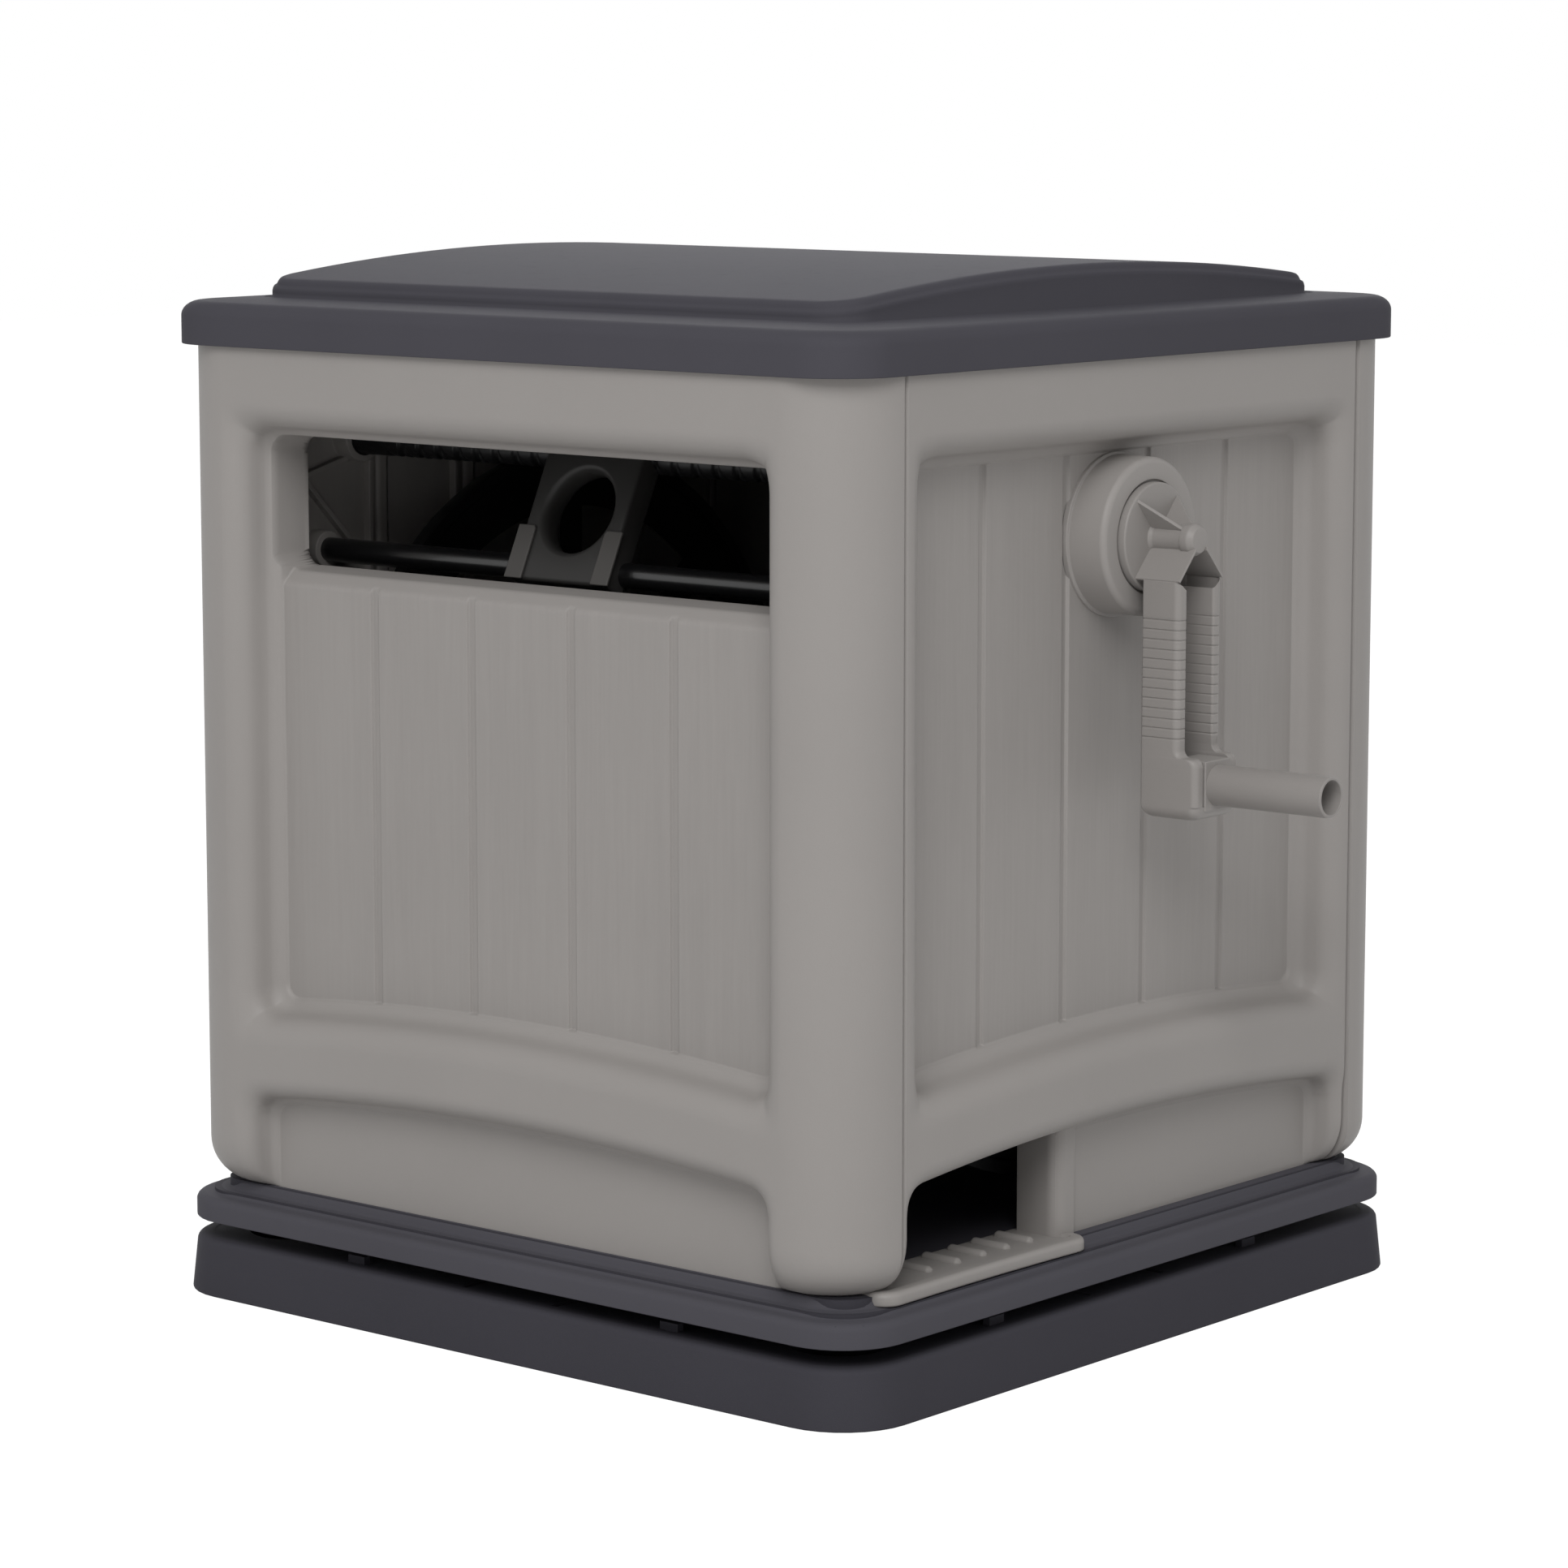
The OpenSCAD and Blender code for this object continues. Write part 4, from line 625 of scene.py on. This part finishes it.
crankLathe("crankDisc", crank["disc"], ["crank_arm"])
crankLathe("crankSpindle", crank["spindle"])
for side, label in bothSides:
    lean = math.radians(crank["finLean"]) * side
    crankPrism("crankFin" + label, crank["fin"], (-crank["finHalf"], crank["finHalf"]),
               lambda along, a, b: np.stack([a, along * math.cos(lean) + b * math.sin(lean),
                                             b * math.cos(lean) - along * math.sin(lean)], -1), crank["finEdge"])
    crankPrism("crankRoof" + label, [(side * a, b) for a, b in crank["roof"]], crank["roofEnds"], alongX,
               crank["roofEdge"])

arm = {"top": -.020, "gripFrom": -.046, "gripTo": -.1190, "bottom": -.1580, "coarse": .002, "fine": .00025,
       "swellTop": -.1290, "swellLow": -.1293, "swellRounds": (.0075, .0055), "frontRound": .006,
       "rounds": (.0012, .0060, .0018, .001, .001, .0018, .0060, .0012), "eaves": -.0232, "eavesSlope": .75,
       "lineAt": -.0468, "linePitch": .00592, "lines": 13, "lineDepth": .0007, "lineHalf": .0004,
       "lineMargin": (.3, .7), "markEdge": .0005, "farEdge": .0030, "farBack": .002,
       "deepFrom": -.1195, "deepTo": -.1212, "deepWall": .0012, "deepBed": .0019, "bedEdge": .0012}


def armShell():
    # the arm's U-shaped outline is carried down its length; its front swells forward over the boot with a
    # hollow round, its walls' tops slope in and down from the eaves, and grip lines are pressed into the near
    # wall's outside and the far wall's inside
    q, a = crank, arm
    tail = rounded([(0, a["gripTo"]), (0, a["swellTop"]), (q["swell"], a["swellLow"]), (q["swell"], a["bottom"])],
                   a["swellRounds"], 20)
    z = np.concatenate([np.arange(a["top"], a["gripFrom"], -a["coarse"]),
                        np.arange(a["gripFrom"], a["gripTo"], -a["fine"]), tail[:, 1]])[:, None]
    swell = np.concatenate([np.zeros(len(z) - len(tail)), tail[:, 0]])[:, None]
    half, wall, span = q["half"], q["wall"], q["frontX"] - q["armX"]
    outline = loopRounded([(0, -half), (span, -half), (span, -half + wall), (q["back"], -half + wall),
                           (q["back"], half - wall), (span, half - wall), (span, half), (0, half)], a["rounds"], 8)
    along = np.roll(outline, -1, 0) - np.roll(outline, 1, 0)
    normal = np.stack([along[:, 1], -along[:, 0]], -1) / np.linalg.norm(along, axis=1, keepdims=True)
    x, y = outline.T
    forward = np.clip((x - q["back"]) / (span - q["back"] - a["frontRound"]), 0, 1)
    phase = (a["lineAt"] - z) / a["linePitch"]
    off = (phase - np.round(phase)) * a["linePitch"] / a["lineHalf"]
    before, after = a["lineMargin"]
    line = np.where((phase > -before) & (phase < a["lines"] - after), np.exp(-off ** 2), 0)
    nearSide = y < -half + wall - a["markEdge"]
    farSide = (y > half - wall - a["markEdge"]) & (y < half - a["farEdge"]) & (x > q["back"] + a["farBack"])
    marked = nearSide | farSide
    low = smooth(a["deepFrom"], a["deepTo"], z)   # below the grip lines the channel is cut a little deeper
    push = -a["lineDepth"] * line * marked - a["deepWall"] * low * (marked & (y > 0))
    bed = (np.abs(y) < half - wall + a["bedEdge"]) & (x < q["back"] + a["bedEdge"])
    roofLine = a["eaves"] - (half - np.abs(y)) * a["eavesSlope"]
    points = np.stack([q["armX"] + x - a["deepBed"] * low * bed + swell * forward + push * normal[:, 0],
                       q["y"] + y + push * normal[:, 1], q["z"] + np.minimum(z, roofLine)], -1)
    meshObject("armChannel", points, [quadGrid(*points.shape[:2], True)[..., ::-1]], "crank", finishes["crank"])


armShell()

boot = {"seam": -.1592, "round": .0075, "corners": (.0012, .006, .006, .0012),
        "sill": ((.0008, -.0215), (.0385, -.0190), (.0385, .0190), (.0008, .0215)), "sillEnds": (-.1600, -.1590),
        "sillEdge": .0003}


def bootFloor():
    # the boot's closed end: rings of the arm's outer outline, drawn in round the bottom edge
    q = crank
    deep = q["frontX"] - q["armX"] + q["swell"]
    outline = loopRounded([(0, -q["half"]), (deep, -q["half"]), (deep, q["half"]), (0, q["half"])],
                          boot["corners"], 8)
    turn = np.linspace(0, np.pi / 2, 9)[1:]
    bend = zip(boot["round"] * (1 - np.cos(turn)), boot["seam"] - boot["round"] * np.sin(turn))
    middle = np.array([deep / 2, 0])
    rings = []
    for inset, z in [(0, arm["bottom"]), (0, boot["seam"])] + list(bend):
        ring = middle + (outline - middle) * (1 - inset / np.array([deep / 2, q["half"]]))
        rings.append(np.column_stack([q["armX"] + ring[:, 0], q["y"] + ring[:, 1], np.full(len(ring), q["z"] + z)]))
    outward(ringSurface("bootFloor", rings, "crank", finishes["crank"]))


bootFloor()
crankPrism("bootSill", [(crank["armX"] + a, b) for a, b in boot["sill"]], boot["sillEnds"], alongZ, boot["sillEdge"])

grip = {"pivotX": .3035, "z": .350, "neckEnd": .3274, "neckHalf": .0132, "neckHigh": .0152, "neckEdge": .0007,
        "tube": rounded([(.3200, .0060), (.3200, .0125), (.409, .0123), (.409, .0103), (.322, .0100), (.322, .0003)],
                        (.0006, .0010, .0006, .0003), 5),
        "barrel": rounded([(-.0146, .0005), (-.0146, .0125), (.0146, .0125), (.0146, .0005)], (.0012, .0012), 5)}
lathe("gripTube", grip["tube"], (0, crank["y"], grip["z"]), "handle", finishes["crank"],
      ["crank_handle"])
lathe("gripBarrel", grip["barrel"], (grip["pivotX"], crank["y"], grip["z"]), "handle", finishes["crank"],
      axis=1)
prism("gripNeck", [(grip["pivotX"], -grip["neckHigh"]), (grip["neckEnd"], -grip["neckHigh"]),
                   (grip["neckEnd"], grip["neckHigh"]), (grip["pivotX"], grip["neckHigh"])],
      (-grip["neckHalf"], grip["neckHalf"]),
      lambda along, a, b: np.stack([a, along + crank["y"], b + grip["z"]], -1), "handle", finishes["crank"],
      grip["neckEdge"])
print("crank made")


# Bosses on the outside and inside of the walls, and the side walls' inner braces

crankBoss = {"r": .0480, "foot": .0022, "swell": .0004, "well": .0346, "around": 96}
lathe("crankBoss", rounded([(.2465, crankBoss["r"] + crankBoss["foot"]), (.2500, crankBoss["r"] + crankBoss["foot"]),
                            (.2505, crankBoss["r"] + crankBoss["swell"]), (.2762, crankBoss["r"]),
                            (.2762, crankBoss["well"]), (.2742, crankBoss["well"]), (.2742, .0004)],
                           (.0008, .0004, .0040, .0005, .0003), 8),
      (0, crank["y"], crank["z"]), "housing", finishes["trim"], around=crankBoss["around"])

rodAt, screwAt = [np.add(*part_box(name))[1:] / 2 for name in ("guide_rod", "level_screw")]
innerBosses = {"rodBoss": (.01175, .013, rodAt), "screwBoss": (.016, .013, screwAt),
               "reelBoss": (.030, .010, (.007, .312))}
bossWall = {"root": .2465, "face": .2445, "from": .2448, "flare": .003, "around": 48}
for name, (radius, long, centre) in innerBosses.items():
    profile = rounded([(bossWall["root"], radius + bossWall["flare"]), (bossWall["face"], radius),
                       (bossWall["from"] - long, radius), (bossWall["from"] - long, .0004)], (.002, .001), 4)
    for side, label in bothSides:
        outward(lathe(name + label, [(side * a, b) for a, b in profile], (0, *centre), "housing", finishes["trim"],
                      around=bossWall["around"]))

braces = {"low": ((-.2070, .5265), (-.1490, .4680)), "high": ((-.2070, .5145), (-.1560, .5272)),
          "upright": ((-.1366, .440), (-.1366, .600)), "far": ((-.0569, .440), (-.0569, .600))}
braceSizes = {"half": .0016, "wallX": .2455, "innerX": .2395, "edge": .0005}
for name, (start, stop) in braces.items():
    way = np.subtract(stop, start) / np.linalg.norm(np.subtract(stop, start))
    wide = np.array([-way[1], way[0]]) * braceSizes["half"]
    corners = [start + wide, stop + wide, stop - wide, start - wide]
    for side, label in bothSides:
        prism("brace" + name.capitalize() + label, corners, (side * braceSizes["wallX"], side * braceSizes["innerX"]),
              alongX, "housing", finishes["trim"], braceSizes["edge"])
print("bosses and braces made")


# Foot tread in the hose opening, with the pilaster beside it

tread = {"low": (.221, -.2400), "high": (.2735, -.0425), "corner": .0125, "waist": .0015, "around": 260,
         "under": .0662, "top": .0727, "lip": .0019, "lipFade": .012, "underInset": .0090,
         "lipInsets": (.0082, .0092, .0102), "rounds": (.0014, .0034, .0006, .0006),
         "ribs": (-.1722, -.1448, -.1198, -.0970, -.0740), "ribFrom": .2265, "ribTo": .2485, "ribHalf": .0036,
         "ribHigh": .0036, "ribSink": .0004, "ribAround": 24, "ribTurn": 1.5, "ribRings": 9}
pilaster = {"outline": [(.2255, -.0562), (.2568, -.0562), (.2568, -.0380), (.2255, -.0380)],
            "rounds": (.001, .0085, .0015, .001), "ends": (.0722, .1450), "edge": .0005}


def treadPlate():
    # rings of the plan outline, drawn in along its normals: underside, rounded rim, low lip and sunk top; the
    # outer edge is hollowed by waist at its middle, and the lip runs along it and dies away behind
    q = tread
    (x0, y0), (x1, y1) = q["low"], q["high"]
    corners = loopRounded([(x0, y0), (x1, y0), (x1, y1), (x0, y1)], [q["corner"]] * 4, 12)
    loop = np.concatenate([corners, corners[:1]])
    run = np.concatenate([[0], np.cumsum(np.linalg.norm(np.diff(loop, axis=0), axis=1))])
    at = np.linspace(0, run[-1], q["around"], endpoint=False)
    plan = np.stack([np.interp(at, run, loop[:, 0]), np.interp(at, run, loop[:, 1])], -1)
    half = (y1 - y0) / 2 - q["corner"]
    hollow = np.clip(1 - ((plan[:, 1] - (y0 + y1) / 2) / half) ** 2, 0, 1)
    plan[:, 0] -= q["waist"] * hollow * (plan[:, 0] > x1 - 1e-5)
    along = np.roll(plan, -1, 0) - np.roll(plan, 1, 0)
    out = np.stack([along[:, 1], -along[:, 0]], -1) / np.linalg.norm(along, axis=1, keepdims=True)
    crest = q["top"] + q["lip"]
    lipEnd, slopeEnd, topStart = q["lipInsets"]
    profile = rounded([(q["underInset"], q["under"]), (0, q["under"]), (0, crest), (lipEnd, crest),
                       (slopeEnd, q["top"]), (topStart, q["top"])], q["rounds"], 6)
    outer = smooth(x0 + q["lipFade"], x1 - q["lipFade"], plan[:, 0])
    rings = [np.column_stack([plan - out * inset, z - np.maximum(z - q["top"], 0) * (1 - outer)])
             for inset, z in profile]
    outward(ringSurface("treadPlate", rings, "housing", finishes["trim"], ["foot_tread"]))


def treadRibs():
    # rings of a stadium that shrink on to its spine
    q = tread
    turn = np.linspace(0, 2 * np.pi, q["ribAround"], endpoint=False)
    ends = np.where(np.cos(turn) > 0, q["ribTo"], q["ribFrom"])
    for number, rib in enumerate(q["ribs"]):
        rings = []
        for t in np.linspace(0, q["ribTurn"], q["ribRings"]):
            wide = q["ribHalf"] * math.cos(t)
            z = q["top"] - q["ribSink"] + q["ribHigh"] * math.sin(t)
            rings.append(np.column_stack([ends + wide * np.cos(turn), rib + wide * np.sin(turn),
                                          np.full(len(turn), z)]))
        ringSurface("treadRib" + str(number + 1), rings, "housing", finishes["trim"])


treadPlate()
treadRibs()
prism("hosePilaster", loopRounded(pilaster["outline"], pilaster["rounds"], 8), pilaster["ends"], alongZ, "housing",
      finishes["trim"], pilaster["edge"])
print("tread made")


# Hose guide: a flared eye in a leaning plate, made in the guide's own leaning frame

guide = {"half": .0395, "front": -.0160, "rear": .0030, "under": -.0130, "over": .0130, "eye": .0338,
         "mouth": .0306, "throat": .0262, "waist": -.0095, "edge": .0028, "around": 120, "flareRings": 10,
         "edgeRings": 5}


def guidePlate():
    # rings round the eye in the leaning frame of (x, back, up): the eye flares from its throat to a mouth at the
    # front and the rear, then front face out to the outline, edges and rear face; a ring is a circle of a
    # radius, or the outline drawn in by an inset
    q = guide
    lean = screwAt - rodAt
    length = np.linalg.norm(lean)
    sine, cosine = lean / length
    middle = (np.add(*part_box("hose_guide")) / 2)[0]
    eye, low, high = q["eye"], q["under"], length + q["over"]
    corners = [math.atan2(v - eye, u) for u in (-q["half"], q["half"]) for v in (low, high)]
    turn = np.sort(np.concatenate([np.linspace(-np.pi, np.pi, q["around"], endpoint=False), corners]))
    c, r = np.cos(turn), np.sin(turn)

    def circle(radius):
        return np.full(len(turn), radius)

    def outline(inset):
        return np.minimum((q["half"] - inset) / np.maximum(np.abs(c), 1e-9),
                          np.where(r > 0, high - eye - inset, eye - low - inset) / np.maximum(np.abs(r), 1e-9))

    arc = np.linspace(0, np.pi / 2, q["flareRings"])
    soft = np.linspace(0, np.pi / 2, q["edgeRings"])
    mouth, waist, front, rear, edge = q["mouth"], q["waist"], q["front"], q["rear"], q["edge"]
    flare = mouth - q["throat"]
    rings = [(circle(mouth - flare * math.sin(t)), waist + (rear - waist) * math.cos(t)) for t in arc]
    rings += [(circle(mouth - flare * math.cos(t)), waist + (front - waist) * math.sin(t)) for t in arc[1:]]
    rings += [(outline(edge * (1 - math.sin(t))), front + edge * (1 - math.cos(t))) for t in soft]
    rings += [(outline(edge * (1 - math.cos(t))), rear - edge * (1 - math.sin(t))) for t in soft]
    rings.append(rings[0])
    reach, back = np.stack([a for a, _ in rings]), np.array([b for _, b in rings])[:, None]
    x, up = middle + reach * c, eye + reach * r
    points = np.stack([x, rodAt[0] + back * cosine + up * sine, rodAt[1] - back * sine + up * cosine], -1)
    outward(meshObject("guidePlate", points, [quadGrid(len(rings), len(turn), True)], "guide", finishes["guide"],
                       ["hose_guide"]))


guidePlate()
# the clips take the lit charcoal copy: painted light beside the plate's painted shade
nodes["guide_clips"].material_slots[0].material = finishes["clipsLitCopy"]
print("guide made")


# Level-wind screw: two helical grooves of opposite hand cross on the shaft

levelScrew = {"r": .011, "pitch": .0165, "groove": .0018, "grooveFloor": .0011, "grooveHalf": .0026,
              "grooveEnd": .205, "grooveFade": .004, "long": 720, "around": 56}


def screwShaft():
    q = levelScrew
    low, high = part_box("level_screw")
    x = np.linspace(low.x, high.x, q["long"])[:, None]
    turn = np.linspace(0, 2 * np.pi, q["around"], endpoint=False)[None]
    dip = np.zeros((q["long"], q["around"]))
    for hand in (-1, 1):
        off = (x / q["pitch"] - hand * turn / (2 * np.pi) + .5) % 1 - .5
        dip = np.maximum(dip, 1 - smooth(q["grooveFloor"], q["grooveHalf"], np.abs(off) * q["pitch"]))
    dip = dip * smooth(0, q["grooveFade"], q["grooveEnd"] - np.abs(x))
    radius = q["r"] - q["groove"] * dip
    points = np.stack([x + 0 * turn, screwAt[0] + radius * np.cos(turn), screwAt[1] + radius * np.sin(turn)], -1)
    meshObject("levelScrew", points, [quadGrid(*dip.shape, True)[..., ::-1]], "level_wind", finishes["black"],
               ["level_screw"])


screwShaft()
print("level wind made")


# Studio: white backdrop and floor, soft light, camera at the photograph's angle

studio = {"ambient": .42, "shown": .58, "floorHalf": 9, "floorZ": -.0004, "paper": (.90, .92), "paperGrain": 60,
          "paperRough": .9, "glow": 1.16, "glowShare": .86, "aim": (0, 0, .3),
          "lamps": (("key", (2.30, -3.20, 3.55), 2.6, 138), ("rear", (-1.9, 2.5, 2.2), 2.0, 22)),
          "lens": 116.95, "sensor": 36, "eye": (2.0743, -2.4695, .7910), "tilt": 90 - 8.299, "heading": 40.123}


def addObject(name, data):
    made = bpy.data.objects.new(name, data)
    bpy.context.scene.collection.objects.link(made)
    return made


def shownRays(tree):
    # 1 for what the camera sees, straight, mirrored or through glass, and 0 for light that falls on the object
    path = tree.nodes.new("ShaderNodeLightPath")
    straight, mirrored, through = [Wire(tree, path.outputs["Is " + kind + " Ray"])
                                   for kind in ("Camera", "Glossy", "Transmission")]
    return (straight + mirrored + through).clamp(0, 1)


def backdrop():
    world = bpy.data.worlds.new("studio")
    bpy.context.scene.world = world
    world.use_nodes = True
    tree = world.node_tree
    back = tree.nodes["Background"]
    strength = shownRays(tree) * studio["shown"] + studio["ambient"]
    tree.links.new(strength.socket, back.inputs["Strength"])
    back.inputs["Color"].default_value = (1, 1, 1, 1)


def paperFloor():
    far, z = studio["floorHalf"], studio["floorZ"]
    mesh = bpy.data.meshes.new("floor")
    mesh.from_pydata([(-far, -far, z), (far, -far, z), (far, far, z), (-far, far, z)], [], [(0, 1, 2, 3)])
    paper, shader, spot = startFinish("paper")
    dark, light = [(grey, grey, grey, 1) for grey in studio["paper"]]
    connect(shader, spot.noise(studio["paperGrain"]).between(dark, light))
    shader.inputs["Roughness"].default_value = studio["paperRough"]
    shader.inputs["Specular IOR Level"].default_value = 0
    tree = paper.node_tree
    glow = tree.nodes.new("ShaderNodeEmission")
    glow.inputs["Strength"].default_value = studio["glow"]
    mix = tree.nodes.new("ShaderNodeMixShader")
    tree.links.new((shownRays(tree) * studio["glowShare"]).socket, mix.inputs[0])
    tree.links.new(shader.outputs[0], mix.inputs[1])
    tree.links.new(glow.outputs[0], mix.inputs[2])
    tree.links.new(mix.outputs[0], tree.nodes["Material Output"].inputs["Surface"])
    mesh.materials.append(paper)
    addObject("floor", mesh)


def lampsAndCamera():
    for name, place, size, energy in studio["lamps"]:
        lamp = bpy.data.lights.new(name, "AREA")
        lamp.size, lamp.energy = size, energy
        light = addObject(name, lamp)
        light.location = place
        light.rotation_euler = (Vector(studio["aim"]) - Vector(place)).to_track_quat("-Z", "Y").to_euler()
    lens = bpy.data.cameras.new("view")
    lens.lens, lens.sensor_width = studio["lens"], studio["sensor"]
    camera = addObject("view", lens)
    camera.location = studio["eye"]
    camera.rotation_euler = (math.radians(studio["tilt"]), 0, math.radians(studio["heading"]))
    bpy.context.scene.camera = camera
    bpy.context.scene.view_settings.view_transform = "Standard"


backdrop()
paperFloor()
lampsAndCamera()
print("studio set")
